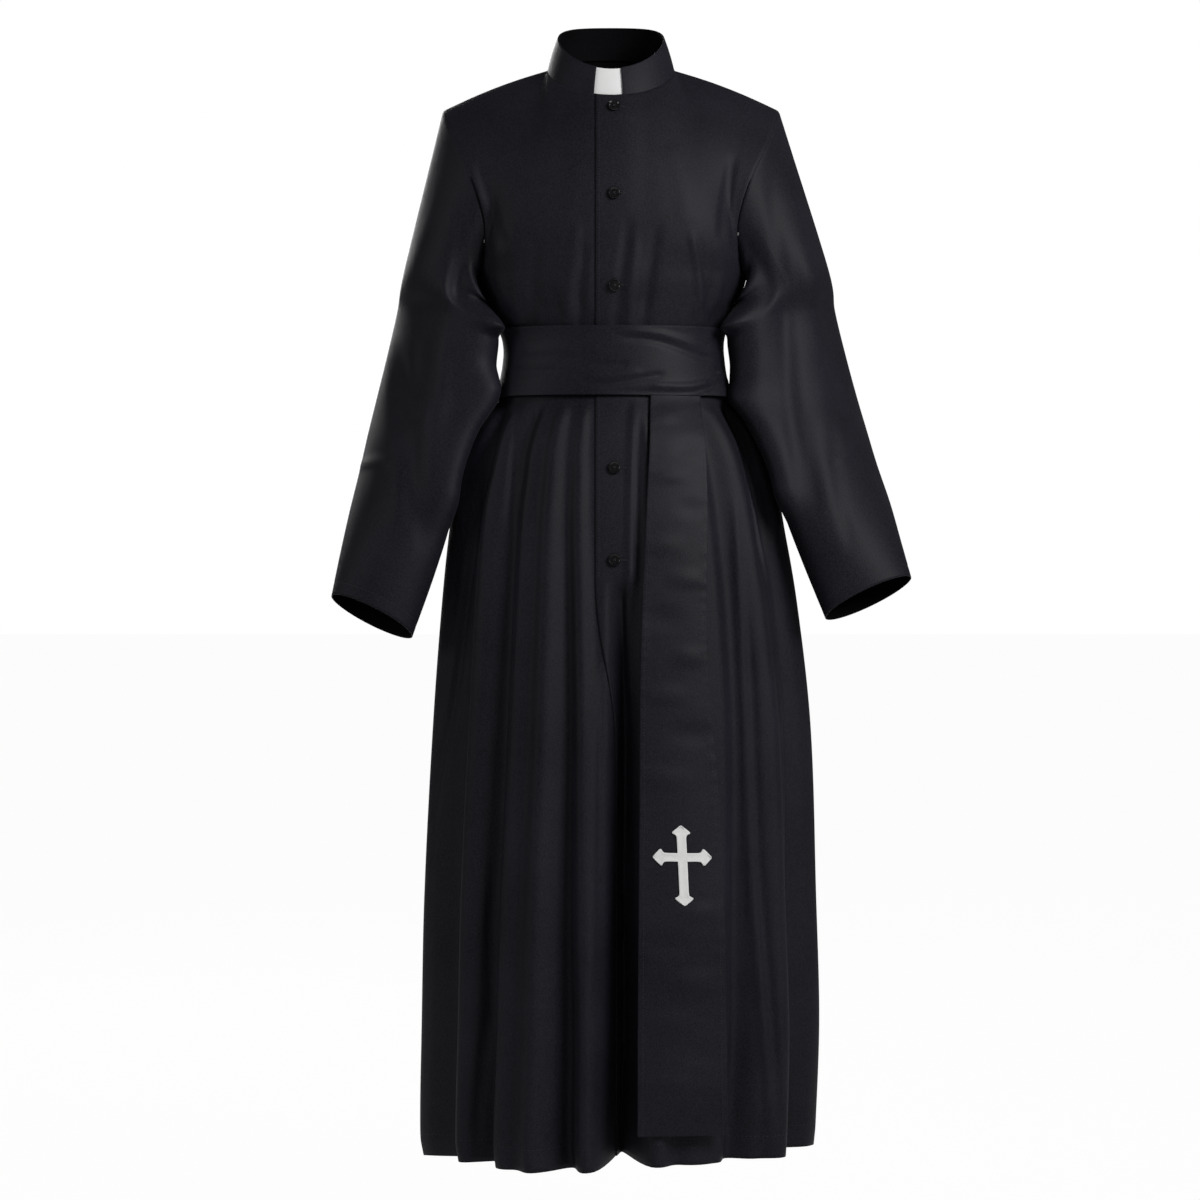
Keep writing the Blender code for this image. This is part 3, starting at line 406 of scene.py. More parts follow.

# %% [markdown]
# Small creases cross the large folds: the pulls from the sash, the sharp edge where a fold doubles
# over, the lines where a sleeve bends. They are placed one by one, because a real crease has a cause,
# and noise has none. Each is a line seen square on from the front or from behind, with a width and
# a height, and it fades out at its ends.

# %% The small creases
Crease = namedtuple("Crease", "height width path")
TORSO_CREASES = (
    Crease(1.8, 12, ((-117, -195), (-115, -249), (-112, -341))),
    Crease(-2.0, 12, ((-89, -213), (-92, -276), (-96, -341))),
    Crease(2.4, 12, ((-40, -195), (-48, -270), (-53, -341))),
    Crease(-1.8, 8, ((-31, -225), (-35, -282), (-38, -341))),
    Crease(-2.0, 11, ((22, -190), (10, -282), (4, -341))),
    Crease(1.4, 10, ((30, -215), (24, -282), (22, -341))),
    Crease(-1.5, 11, ((56, -195), (42, -282), (36, -341))),
    Crease(1.6, 8, ((93, -205), (104, -270), (112, -335))),
    Crease(-1.2, 6, ((103, -211), (113, -270), (119, -335))),
    Crease(-2.0, 11, ((146, -112), (136, -170), (130, -226))),
    Crease(-2.0, 11, ((-162, -112), (-143, -176), (-126, -238))),
    Crease(1.2, 18, ((-160, -150), (-138, -205), (-122, -282))),
    Crease(-1.0, 20, ((-60, -96), (-58, -150), (-70, -215))),
    Crease(0.9, 20, ((70, -100), (84, -150), (92, -215))),
)
SKIRT_CREASES = (
    Crease(4, 12, ((-129, -397), (-152, -444), (-169, -473), (-179, -513), (-187, -590))),
    Crease(-4, 9, ((-126, -403), (-143, -479), (-158, -542), (-171, -643), (-188, -768),
                   (-207, -860), (-212, -936))),
    Crease(-4, 9, ((-133, -925), (-141, -1017), (-142, -1122), (-147, -1161), (-156, -1233),
                   (-162, -1319))),
    Crease(3, 8, ((143, -508), (148, -592), (155, -762), (162, -943), (172, -1071), (180, -1180),
                  (190, -1319))),
    Crease(-3, 9, ((158, -647), (165, -762), (172, -943), (182, -1071), (191, -1180),
                   (202, -1319))),
    Crease(-6, 9, ((128, -401), (147, -438), (160, -472), (172, -542), (183, -640))),
    Crease(5, 11, ((135, -401), (163, -450), (182, -492), (195, -532), (203, -590))),
    Crease(3, 8, ((26, -403), (23, -508), (21, -647), (23, -803))),
    Crease(-2.5, 8, ((36, -403), (32, -508), (31, -647), (31, -803))),
    Crease(-2.5, 9, ((-110, -400), (-115, -473), (-120, -577))),
    Crease(2.5, 9, ((-16, -693), (-20, -832), (-23, -994), (-25, -1110))),
)
BACK_CREASES = (
    Crease(2.5, 9, ((-96, -215), (-84, -265), (-70, -341))),
    Crease(-2.2, 8, ((-62, -235), (-54, -285), (-48, -341))),
    Crease(2, 7, ((-30, -225), (-26, -280), (-24, -341))),
    Crease(-2, 8, ((14, -235), (12, -290), (10, -341))),
    Crease(2.4, 8, ((44, -215), (40, -275), (36, -341))),
    Crease(-2.2, 8, ((80, -228), (72, -280), (64, -341))),
    Crease(2.2, 7, ((110, -215), (100, -270), (92, -341))),
    Crease(-2, 14, ((-120, -110), (-60, -150), (0, -160), (62, -148), (124, -108))),
    Crease(4, 8, ((-118, -398), (-140, -446), (-158, -510), (-166, -590))),
    Crease(-4, 8, ((-66, -402), (-72, -470), (-80, -580))),
    Crease(3, 7, ((-24, -402), (-22, -470), (-18, -560), (-16, -700))),
    Crease(-4, 7, ((34, -402), (38, -480), (44, -610))),
    Crease(3, 7, ((74, -402), (84, -470), (92, -560))),
    Crease(5, 8, ((120, -398), (146, -450), (168, -520), (178, -600))),
    Crease(-4, 8, ((96, -760), (104, -940), (112, -1120), (116, -1319))),
    Crease(4, 7, ((-128, -700), (-136, -880), (-146, -1100), (-150, -1319))),
)
PATH_STEPS = 5
CREASE_FADE = 0.18


def smooth_path(path):
    keys = np.arange(len(path))
    at = np.linspace(0, keys[-1], PATH_STEPS * keys[-1] + 1)
    return np.stack([curve(keys, [point[axis] for point in path], at) for axis in (0, 1)], axis=-1)


def crease_height(creases, across, level):
    """The sum of the creases at many places, seen square on."""
    total = np.zeros(across.shape)
    for crease in creases:
        path = smooth_path(crease.path)
        reach = crease.width + 1
        near = (
            (across > path[:, 0].min() - reach) & (across < path[:, 0].max() + reach)
            & (level > path[:, 1].min() - reach) & (level < path[:, 1].max() + reach))
        if not near.any():
            continue
        place = np.stack([across[near], level[near]], axis=-1)
        best = np.full(len(place), 1e9)
        along = np.zeros(len(place))
        for step, (start, stop) in enumerate(zip(path, path[1:])):
            line = stop - start
            share = np.clip((place - start) @ line / max(line @ line, 1e-9), 0, 1)
            away = np.linalg.norm(place - start - share[:, None] * line, axis=-1)
            closer = away < best
            best = np.where(closer, away, best)
            along = np.where(closer, (step + share) / (len(path) - 1), along)
        ends = ease(along / CREASE_FADE) * ease((1 - along) / CREASE_FADE)
        total[near] += crease.height * hump(best / crease.width) * ends
    return total


print("small creases on the gown:", len(TORSO_CREASES) + len(SKIRT_CREASES) + len(BACK_CREASES))

# %% [markdown]
# ## From a flat grid to a piece of cloth
#
# Every piece of cloth starts as what it is on the cutting table: a flat sheet with threads along and
# across it. Blender's grid gives the sheet, the functions above say where each of its points hangs,
# and a Solidify modifier gives the thickness, inwards, so the face that shows stays on the form. The
# UV map keeps the true lengths along the cloth, in metres, so the weave has one size everywhere.

# %% A sheet laid on a form
CLOTH = 1.2
SEAM_GAP = 0.3
LAY_GAP = 0.35


def surface_normals(points, closed=False):
    """Square to the sheet at each point, from its neighbours."""
    if closed:
        padded = np.concatenate([points[:, -2:-1], points, points[:, 1:2]], axis=1)
        across = padded[:, 2:] - padded[:, :-2]
    else:
        across = np.gradient(points, axis=1)
    up = np.gradient(points, axis=0)
    return unit(np.cross(across, up))


def cloth_lengths(points):
    """The true lengths along and across the cloth, in metres."""
    rows, columns = points.shape[:2]
    steps = np.linalg.norm(np.diff(points, axis=1), axis=-1)
    along = np.concatenate([np.zeros((rows, 1)), np.cumsum(steps, axis=1)], axis=1)
    along -= along[:, columns // 2][:, None]
    rises = np.linalg.norm(np.diff(points, axis=0), axis=-1).mean(axis=1)
    up = np.concatenate([[0.0], np.cumsum(rises)])
    return along * MM, np.broadcast_to(up[:, None] * MM, along.shape)


def sheet_mesh(name, points, closed=False):
    """A grid whose points are moved to rows of places, with its lengths as a UV map."""
    rows, columns = points.shape[:2]
    bm = bmesh.new()
    bmesh.ops.create_grid(
        bm, x_segments=columns - 1, y_segments=rows - 1, size=1.0, calc_uvs=True)
    bm.verts.ensure_lookup_table()
    flat = np.array([vert.co[:2] for vert in bm.verts])
    column = np.rint((flat[:, 0] + 1) / 2 * (columns - 1)).astype(int)
    row = np.rint((flat[:, 1] + 1) / 2 * (rows - 1)).astype(int)
    along, up = cloth_lengths(points)
    layer = bm.loops.layers.uv.verify()
    for vert, place, u, v in zip(bm.verts, points[row, column] * MM, along[row, column],
                                 up[row, column]):
        vert.co = place
        for loop in vert.link_loops:
            loop[layer].uv = (u, v)
    if closed:
        bmesh.ops.remove_doubles(bm, verts=bm.verts, dist=1e-6)
    mesh = bpy.data.meshes.new(name)
    bm.to_mesh(mesh)
    bm.free()
    mesh.shade_smooth()
    return mesh


def finish_piece(name, mesh, finish, stands_for=()):
    """An object for a mesh, on the root body, in the place of its plain solid."""
    made = bpy.data.objects.new(name, mesh)
    bpy.context.scene.collection.objects.link(made)
    mesh.materials.clear()
    mesh.materials.append(finish)
    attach(made, "root")
    if stands_for:
        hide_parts(*stands_for)
    return made


def thicken(piece, thickness, behind=None):
    """A wall on the inside of a sheet, with its own finish on the side that faces in, which for the
    cloth is darkened as painted shade.
    """
    wall = piece.modifiers.new("thickness", "SOLIDIFY")
    wall.thickness = thickness * MM
    wall.offset = -1.0
    wall.use_rim = True
    if behind:
        piece.data.materials.append(behind)
        wall.material_offset = 1


def area_of(mesh):
    return sum(face.area for face in mesh.polygons)


# %% [markdown]
# Where two panels are sewn together, both edges turn in, so a seam shows as a fine groove. The last
# few columns of each sheet stand closer together for that, and roll inwards.

# %% Seam edges
SEAM_DEPTH = 0.7
SEAM_WIDTH = 3.0
SEAM_SHARES = (0.0, 0.15, 0.4, 0.75, 1.0)
FINE_SHARE = 0.012


def edge_steps(start, stop, count, edge_first=False, edge_last=False):
    """Steps from start to stop, with a few fine ones at a sewn edge."""
    first = FINE_SHARE if edge_first else 0.0
    last = 1 - FINE_SHARE if edge_last else 1.0
    steps = list(np.linspace(first, last, count))
    if edge_first:
        steps = [FINE_SHARE * share for share in SEAM_SHARES[:-1]] + steps
    if edge_last:
        steps = steps + [1 - FINE_SHARE * share for share in reversed(SEAM_SHARES[:-1])]
    return [mix(start, stop, step) for step in steps]


def roll_edges(points, normals, edges):
    """Points near a sewn edge sink along the normal, and the edge itself keeps its gap."""
    rows, columns = points.shape[:2]
    moved = points.copy()
    sink = np.zeros((rows, columns))
    ways = {
        "first": (1, points), "last": (1, points[:, ::-1]),
        "top": (0, points[::-1]), "foot": (0, points)}
    for edge in edges:
        axis, ordered = ways[edge]
        steps = np.linalg.norm(np.diff(ordered, axis=axis), axis=-1)
        away = np.cumsum(steps, axis=axis)
        zero = np.zeros((rows, 1)) if axis == 1 else np.zeros((1, columns))
        away = np.concatenate([zero, away], axis=axis)
        if edge == "last":
            away = away[:, ::-1]
        if edge == "top":
            away = away[::-1]
        sink = np.maximum(sink, SEAM_DEPTH * (1 - ease(away / SEAM_WIDTH)))
    moved -= sink[..., None] * normals
    last = {"first": (0, 1), "last": (-1, -2)}
    for edge in edges:
        if edge in last:
            rim, beside = last[edge]
            moved[:, rim] += unit(moved[:, beside] - moved[:, rim]) * SEAM_GAP / 2
        if edge == "top":
            moved[-1] += unit(moved[-2] - moved[-1]) * SEAM_GAP / 2
    return moved


print("edge columns:", len(SEAM_SHARES) - 1, "at each sewn edge")

# %% [markdown]
# ## The two fronts and the back
#
# The wearer's left front laps over the right one, down to the end of the button stand; below that
# the two are closed and the lap is drawn into a deep fold. The fronts share the columns of the lap,
# so they never cross. The rows stand closest at the waist, where the sash draws the cloth in.

# %% The columns and rows of the panels
PLACKET_EDGES = (-18.5, -7.0, 4.0, 15.0)
SEAM_EDGES = (3.0, 6.5, 10.0, 13.5)
PLACKET_END = -625.0
PLACKET_FADE = 190.0
SIDE_ANGLE = 90.0
LAP_COLUMNS = 14
NECK_COLUMNS = 40
SIDE_COLUMNS = 56
BACK_NECK_COLUMNS = 34
BACK_SIDE_COLUMNS = 48
LAP_FALL = 0.3
SKIRT_ROWS = (HEM_LEVEL, -436.0, 6.0)
WAIST_ROWS = (-434.0, -300.0, 3.2)
CHEST_FOOT = -298.0
CHEST_ROWS = 60
TOP_ROWS = (2.2, 1.2, 0.5)


def angle_at(x, level):
    """The angle at which the front of the gown, without folds, has this x."""
    low = np.minimum(level, ARMPIT_LEVEL)
    half_width = read(SECTIONS, "level", "half_width", low)
    across = np.clip((x - read(SECTIONS, "level", "centre_x", low)) / half_width, -1, 1)
    forward = (1 - np.abs(across) ** SQUARENESS) ** (1 / SQUARENESS)
    return np.degrees(np.arctan2(across, forward))


def closing_edges(level):
    """The first and last x of the lap at one level."""
    below = ease((PLACKET_END - level) / PLACKET_FADE)
    return mix(PLACKET_EDGES[0], SEAM_EDGES[0], below), mix(PLACKET_EDGES[-1], SEAM_EDGES[-1], below)


def panel_levels():
    skirt = np.arange(*SKIRT_ROWS)
    waist = np.arange(*WAIST_ROWS)
    chest = np.linspace(CHEST_FOOT, NECK_LEVEL, CHEST_ROWS)
    fine_top = NECK_LEVEL - np.array(TOP_ROWS)
    return np.unique(np.round(np.concatenate([skirt, waist, chest, fine_top]), 3))


def left_angles(level):
    first, last = closing_edges(level)
    lap = [float(angle_at(x, level)) for x in np.linspace(first, last, LAP_COLUMNS)]
    neck = edge_steps(lap[-1], NECK_ANGLE, NECK_COLUMNS)[1:]
    side = edge_steps(NECK_ANGLE, SIDE_ANGLE, SIDE_COLUMNS, edge_last=True)[1:]
    return lap + neck + side


def right_angles(level):
    first, last = closing_edges(level)
    lap = [float(angle_at(x, level)) for x in np.linspace(first, last, LAP_COLUMNS)]
    side = edge_steps(-SIDE_ANGLE, -NECK_ANGLE, SIDE_COLUMNS, edge_first=True)
    neck = edge_steps(-NECK_ANGLE, lap[0], NECK_COLUMNS)[1:]
    return side + neck + lap[1:]


def back_angles(level):
    left = edge_steps(SIDE_ANGLE, 180 - NECK_ANGLE, BACK_SIDE_COLUMNS, edge_first=True)
    to_middle = edge_steps(180 - NECK_ANGLE, 180, BACK_NECK_COLUMNS)[1:]
    from_middle = edge_steps(180, 180 + NECK_ANGLE, BACK_NECK_COLUMNS)[1:]
    right = edge_steps(180 + NECK_ANGLE, 270, BACK_SIDE_COLUMNS, edge_last=True)[1:]
    return left + to_middle + from_middle + right


levels = panel_levels()
print("rows:", len(levels), "columns:", len(left_angles(-900.0)), len(back_angles(-900.0)))

# %% [markdown]
# A lap of two layers needs room: the left front is lifted by one thickness and a little more over
# the lap, and comes down smoothly beside it. The small creases are added square to the cloth, once
# its directions are known, and the hem gets the shallow groove of its hand-sewn turning.

# %% Hang the panels
HEM_TURNING = 26.0
HEM_GROOVE = 0.35
GROOVE_WIDTH = 2.2


def hem_groove(points, distance):
    """The shallow groove where a turning is sewn, at a distance up from the foot."""
    rises = np.linalg.norm(np.diff(points, axis=0), axis=-1)
    up = np.concatenate([np.zeros((1, points.shape[1])), np.cumsum(rises, axis=0)])
    return -HEM_GROOVE * hump((up - distance) / GROOVE_WIDTH)


def hang_panel(angles_of, is_front, creases, edges, lap=False):
    angle = np.array([angles_of(level) for level in levels])
    level = np.broadcast_to(levels[:, None], angle.shape)
    front = np.full(angle.shape, is_front)
    points = gown_point(wrap(angle), level, front)
    normals = surface_normals(points)
    height = crease_height(creases, points[..., 0], points[..., 2])
    height += hem_groove(points, HEM_TURNING)
    if lap:
        beside = np.clip(np.linspace(0, 1, NECK_COLUMNS)[1:] / LAP_FALL, 0, 1)
        lift = np.concatenate([np.ones(LAP_COLUMNS), 1 - ease(beside)])
        height[:, :len(lift)] += lift * (CLOTH + LAY_GAP)
    points = points + height[..., None] * normals
    normals = surface_normals(points)
    return roll_edges(points, normals, edges)


front_creases = TORSO_CREASES + SKIRT_CREASES
cloth_points = {
    "front_left": hang_panel(left_angles, True, front_creases, ("last", "top"), lap=True),
    "front_right": hang_panel(right_angles, True, front_creases, ("first", "top")),
    "back": hang_panel(back_angles, False, BACK_CREASES, ("first", "last", "top")),
}
for name, points in cloth_points.items():
    print(name, points.shape[:2], "lowest", round(float(points[..., 2].min())), "mm")

# %% [markdown]
# ## The sleeves
#
# A sleeve is a tube set into the armhole. Its rings are tilted: across the arm at the top, and
# sloping with the forearm at the cuff, so the cuff opens towards the hand. The gown hangs as if the
# arms were held a little away, and each sleeve has its own creases. At the top a sleeve meets the
# body almost face to face under the arm, so its edge isn't rolled in there: two rolled edges would
# leave a gap that shows daylight. The second fold of each table closes the view under the arm.

# %% The rings of a sleeve
SleeveRing = namedtuple(
    "SleeveRing",
    "outer_x outer_z inner_x inner_z centre_y half_depth lean tilt outer_shift inner_shift shift_z")
SLEEVE_RINGS = (
    SleeveRing(258, -238, 154, -284, 2, 68, 10, 0, 6.7, 1, 0),
    SleeveRing(271, -290, 135, -320, 4, 65, 46, 0, 6.7, 2, 0),
    SleeveRing(283, -342, 140, -360, 2, 63, 46, 0, 7, 2.4, 0),
    SleeveRing(295.5, -394, 142, -402, -4, 61, 44, 0, 7.3, 2.7, 1),
    SleeveRing(306.5, -440, 168, -444, -14, 58, 42, 3, 8, 3.5, 2),
    SleeveRing(316.5, -486, 187, -492, -28, 54, 38, 6, 9, 5, 4),
    SleeveRing(328, -536, 198, -546, -46, 49, 28, 8, 10.5, 7, 6),
    SleeveRing(337, -586, 218, -606, -64, 42, 14, 10, 11, 8, 9),
    SleeveRing(345, -632, 245, -678, -82, 33, 4, 13, 12, 9, 11),
)
UNDERARM_CLEARANCE = 9.0
CLEAR_FROM = 0.25
CLEAR_FADE = 2.0
ArmFold = namedtuple("ArmFold", "share_top share_foot ring_top ring_foot width height")
LEFT_ARM_FOLDS = (
    ArmFold(0.08, 0.07, 0.3, 2.35, 0.11, 24),
    ArmFold(0.09, 0.085, 0.0, 1.0, 0.09, 9),
    ArmFold(0.06, 0.06, 3.5, 7.4, 0.12, 12),
    ArmFold(0.26, 0.14, 0.6, 8.0, 0.07, -6),
    ArmFold(0.34, 0.28, 0.4, 6.0, 0.07, 4),
    ArmFold(0.78, 0.66, 2.0, 7.0, 0.08, -5),
)
RIGHT_ARM_FOLDS = (
    ArmFold(0.08, 0.07, 0.3, 2.35, 0.11, 24),
    ArmFold(0.09, 0.085, 0.0, 1.0, 0.09, 9),
    ArmFold(0.06, 0.06, 3.0, 7.4, 0.12, 11),
    ArmFold(0.22, 0.24, 0.6, 5.5, 0.07, 5),
    ArmFold(0.42, 0.12, 2.5, 8.0, 0.07, -6),
    ArmFold(0.72, 0.8, 2.0, 7.0, 0.08, -5),
)
LEFT_ARM_CREASES = (
    Crease(-2.2, 15, ((197, -78), (191, -143), (200, -220), (208, -302), (215, -429), (233, -611))),
    Crease(1.4, 16, ((212, -108), (226, -206), (240, -275), (252, -371))),
    Crease(-1.4, 13, ((272, -359), (266, -431), (272, -527), (286, -599))),
    Crease(1.2, 12, ((306, -452), (286, -468), (266, -486))),
)
RIGHT_ARM_CREASES = (
    Crease(-2.2, 15, ((-167, -132), (-180, -216), (-188, -311), (-190, -437))),
    Crease(-1.6, 15, ((-225, -305), (-234, -443), (-247, -599))),
    Crease(1.3, 15, ((-200, -347), (-205, -431), (-215, -527))),
    Crease(1.2, 12, ((-313, -485), (-286, -480), (-262, -488))),
)
BACK_ARM_CREASES = (
    Crease(-2, 14, ((196, -150), (206, -240), (214, -340), (226, -470))),
    Crease(1.5, 14, ((232, -200), (244, -300), (254, -420))),
    Crease(-1.5, 12, ((296, -424), (272, -440), (240, -450))),
    Crease(1.5, 12, ((302, -456), (276, -470), (244, -478))),
)
SLEEVE_COLUMNS = 96
SLEEVE_ROWS = 150
SLEEVE_TOP = 0.05
SLEEVE_TOP_ROWS = (0.03, 0.015, 0.006, 0.0)
FACE_FADE = 0.35
CREASE_START = 0.4
UNDER_TUCK = 0.3
FOLD_FADE = 0.2
CUFF_TURNING = 15.0


def ring_places(index, share):
    ring = SLEEVE_RINGS[index]
    inward = np.cos(2 * np.pi * share)
    forward = np.sin(2 * np.pi * share)
    return stack(
        mix(ring.outer_x, ring.inner_x, 0.5 + 0.5 * inward),
        ring.centre_y - ring.half_depth * forward - ring.lean * inward,
        mix(ring.outer_z, ring.inner_z, 0.5 + 0.5 * inward) + ring.tilt * forward)


def sleeve_base(side, share, place):
    """The sleeve without folds, by the place down it: 0 is the armhole, 1 the first whole ring."""
    rings = np.stack([armhole(share)] + [ring_places(i, share) for i in range(len(SLEEVE_RINGS))])
    keys = np.arange(len(rings))
    point = curve(keys, rings, place)
    inward = np.cos(2 * np.pi * share)
    beside = np.maximum(inward, 0) ** 0.5
    clear = UNDERARM_CLEARANCE * ease(place / CLEAR_FROM) * (1 - ease((place - 1) / CLEAR_FADE))
    outer_shift = curve(keys, [0] + [ring.outer_shift for ring in SLEEVE_RINGS], place)
    inner_shift = curve(keys, [0] + [ring.inner_shift for ring in SLEEVE_RINGS], place)
    shift_z = curve(keys, [0] + [ring.shift_z for ring in SLEEVE_RINGS], place)
    shift_x = mix(outer_shift[:, None], inner_shift[:, None], 0.5 + 0.5 * inward)
    point[..., 0] = side * (point[..., 0] + clear[:, None] * beside) + shift_x
    point[..., 2] += side * shift_z[:, None]
    return point


def arm_fold_height(folds, share, place):
    height = np.zeros(np.broadcast(share, place).shape)
    for fold in folds:
        along = (place - fold.ring_top) / (fold.ring_foot - fold.ring_top)
        away = (share - mix(fold.share_top, fold.share_foot, along)) / fold.width
        ends = ease(along / FOLD_FADE) * ease((1 - along) / FOLD_FADE)
        height += fold.height * ends * hump(away)
    return height


def hang_sleeve(side, folds, creases):
    share = np.linspace(0, 1, SLEEVE_COLUMNS + 1)
    place = np.linspace(len(SLEEVE_RINGS), SLEEVE_TOP, SLEEVE_ROWS)
    place = np.concatenate([place, SLEEVE_TOP_ROWS])
    points = sleeve_base(side, share, place)
    axis = 0.5 * (points[:, :1] + points[:, SLEEVE_COLUMNS // 2:SLEEVE_COLUMNS // 2 + 1])
    height = arm_fold_height(folds, share[None, :], place[:, None])
    points = points + height[..., None] * unit(points - axis)
    if side < 0:
        points = points[:, ::-1]
        share = share[::-1]
    normals = surface_normals(points, closed=True)
    seen = ease(np.sin(2 * np.pi * share) / FACE_FADE)
    behind = ease(-np.sin(2 * np.pi * share) / FACE_FADE)
    x, z = points[..., 0], points[..., 2]
    height = seen * crease_height(creases, x, z)
    height += behind * crease_height(BACK_ARM_CREASES, side * x, z)
    height *= ease(place / CREASE_START)[:, None]
    height += hem_groove(points, CUFF_TURNING)
    points = points + height[..., None] * normals
    inward = np.cos(2 * np.pi * share)
    under = ease(inward / 0.5) * (1 - ease(place / UNDER_TUCK))[:, None]
    points[..., 0] += side * under * LAY_GAP
    rolled = roll_edges(points, surface_normals(points, closed=True), ("top",))
    beneath = ease((inward - 0.1) / 0.3)[None, :, None]
    rolled[:-1] = mix(rolled[:-1], points[:-1], beneath)
    rolled[-1] = mix(rolled[-1], mix(points[-1], points[-2], 0.2), beneath[0])
    rolled[:, -1] = rolled[:, 0]
    return rolled


cloth_points["sleeve_left"] = hang_sleeve(1, LEFT_ARM_FOLDS, LEFT_ARM_CREASES)
cloth_points["sleeve_right"] = hang_sleeve(-1, RIGHT_ARM_FOLDS, RIGHT_ARM_CREASES)
cuff = cloth_points["sleeve_left"][0]
cuff_round = np.linalg.norm(np.diff(cuff, axis=0), axis=-1).sum()
print("cuff", round(float(cuff_round)), "mm round")

# %% [markdown]
# ## Shader maths as Python
#
# A procedural cloth is arithmetic on coordinates. Node links hide that, so one small class wraps a
# socket and lets plain Python expressions make the Math nodes: `1 - mask` or `wave * 0.5 + 0.5`.

# %% A socket that can be calculated with


class Nodes:
    """The node tree of one material, with one way to add a node."""

    def __init__(self, name):
        self.material = bpy.data.materials.new(name)
        self.material.use_nodes = True
        self.tree = self.material.node_tree
        self.shader = self.tree.nodes["Principled BSDF"]

    def add(self, kind, settings=(), **inputs):
        node = self.tree.nodes.new(kind)
        for key, value in dict(settings).items():
            setattr(node, key, value)
        for key, value in inputs.items():
            place = int(key[1:]) if key[1:].isdigit() else key.replace("_", " ")
            self.put(node.inputs[place], value)
        return node

    def put(self, socket, value):
        if isinstance(value, Value):
            self.tree.links.new(value.socket, socket)
        elif hasattr(value, "is_output"):
            self.tree.links.new(value, socket)
        else:
            socket.default_value = value

    def math(self, operation, *values):
        node = self.add("ShaderNodeMath", {"operation": operation})
        for socket, value in zip(node.inputs, values):
            self.put(socket, value)
        return Value(self, node.outputs[0])

    def value(self, socket):
        return Value(self, socket)


class Value:
    """One number that varies over a surface."""

    def __init__(self, nodes, socket):
        self.nodes = nodes
        self.socket = socket

    def __add__(self, other):
        return self.nodes.math("ADD", self, other)

    __radd__ = __add__

    def __mul__(self, other):
        return self.nodes.math("MULTIPLY", self, other)

    __rmul__ = __mul__

    def __sub__(self, other):
        return self.nodes.math("SUBTRACT", self, other)

    def __rsub__(self, other):
        return self.nodes.math("SUBTRACT", other, self)

    def __truediv__(self, other):
        return self.nodes.math("DIVIDE", self, other)

    def sine(self):
        return self.nodes.math("SINE", self)

    def absolute(self):
        return self.nodes.math("ABSOLUTE", self)

    def fraction(self):
        return self.nodes.math("FRACT", self)

    def clamped(self):
        return self.nodes.math("MINIMUM", self.nodes.math("MAXIMUM", self, 0.0), 1.0)


# %% [markdown]
# ## The materials
#
# The gown is a fine twill of polyester and viscose: its diagonal ribs are about a millimetre apart
# and give it a soft sheen on every fold. The sash is a smoother satin. Both are black, but never
# flat black: the dye varies a little, and uneven threads run both ways. The weave reads the UV map,
# which is in metres, so one rib has one true width everywhere. The side that faces in gets a third
# finish, matt and painted darker than the cloth as shade for the hollow inside the collar and the
# gown, as the Solidify modifier can give its new faces the next material.

# %% Cloth


def cloth_material(name, colour, light_colour, rib, slant, roughness, bump, gloss):
    nodes = Nodes(name)
    uv = nodes.add("ShaderNodeUVMap", {"uv_map": "UVMap"})
    split = nodes.add("ShaderNodeSeparateXYZ", _0=uv.outputs[0])
    across, up = nodes.value(split.outputs[0]), nodes.value(split.outputs[1])
    turn = 2 * math.pi / rib
    ribs = ((across + up * slant) * turn).sine() * 0.5 + 0.5
    threads = ((across - up * slant) * (turn * 0.53)).sine() * 0.5 + 0.5
    place = nodes.add("ShaderNodeTexCoord")
    cloudy = nodes.value(nodes.add(
        "ShaderNodeTexNoise", Vector=place.outputs["Object"], Scale=9.0, Detail=3.0,
        Roughness=0.5).outputs[0])
    streaks = []
    for scale in ((420.0, 36.0, 1.0), (36.0, 420.0, 1.0)):
        stretched = nodes.add("ShaderNodeMapping", Vector=uv.outputs[0], Scale=scale)
        streaks.append(nodes.value(nodes.add(
            "ShaderNodeTexNoise", Vector=stretched.outputs[0], Scale=1.0, Detail=2.0,
            Roughness=0.6).outputs[0]))
    slubs = (streaks[0] + streaks[1]) * 0.5
    fuzz = nodes.value(nodes.add(
        "ShaderNodeTexNoise", Vector=place.outputs["Object"], Scale=560.0, Detail=3.0,
        Roughness=0.7).outputs[0])
    tone = (
        (cloudy - 0.5) * 0.8 + (slubs - 0.5) * 4.5 + (fuzz - 0.5) * 2.0 + ribs * 0.2 + 0.42).clamped()
    mixed = nodes.add(
        "ShaderNodeMix", {"data_type": "RGBA"}, _0=tone, _6=(*colour, 1.0), _7=(*light_colour, 1.0))
    nodes.put(nodes.shader.inputs["Base Color"], mixed.outputs[2])
    rough = roughness + (cloudy - 0.5) * 0.08 + (fuzz - 0.5) * 0.16 + threads * 0.02
    nodes.put(nodes.shader.inputs["Roughness"], rough)
    relief = ribs * 0.35 + threads * 0.15 + slubs * 1.6 + fuzz * 0.8
    raised = nodes.add(
        "ShaderNodeBump", Strength=bump, Distance=0.0005, Height=relief)
    nodes.put(nodes.shader.inputs["Normal"], raised.outputs[0])
    nodes.shader.inputs["Specular IOR Level"].default_value = gloss
    nodes.shader.inputs["Sheen Weight"].default_value = 0.03
    nodes.shader.inputs["Sheen Roughness"].default_value = 0.35
    nodes.shader.inputs["Sheen Tint"].default_value = (0.75, 0.78, 0.85, 1.0)
    return nodes.material


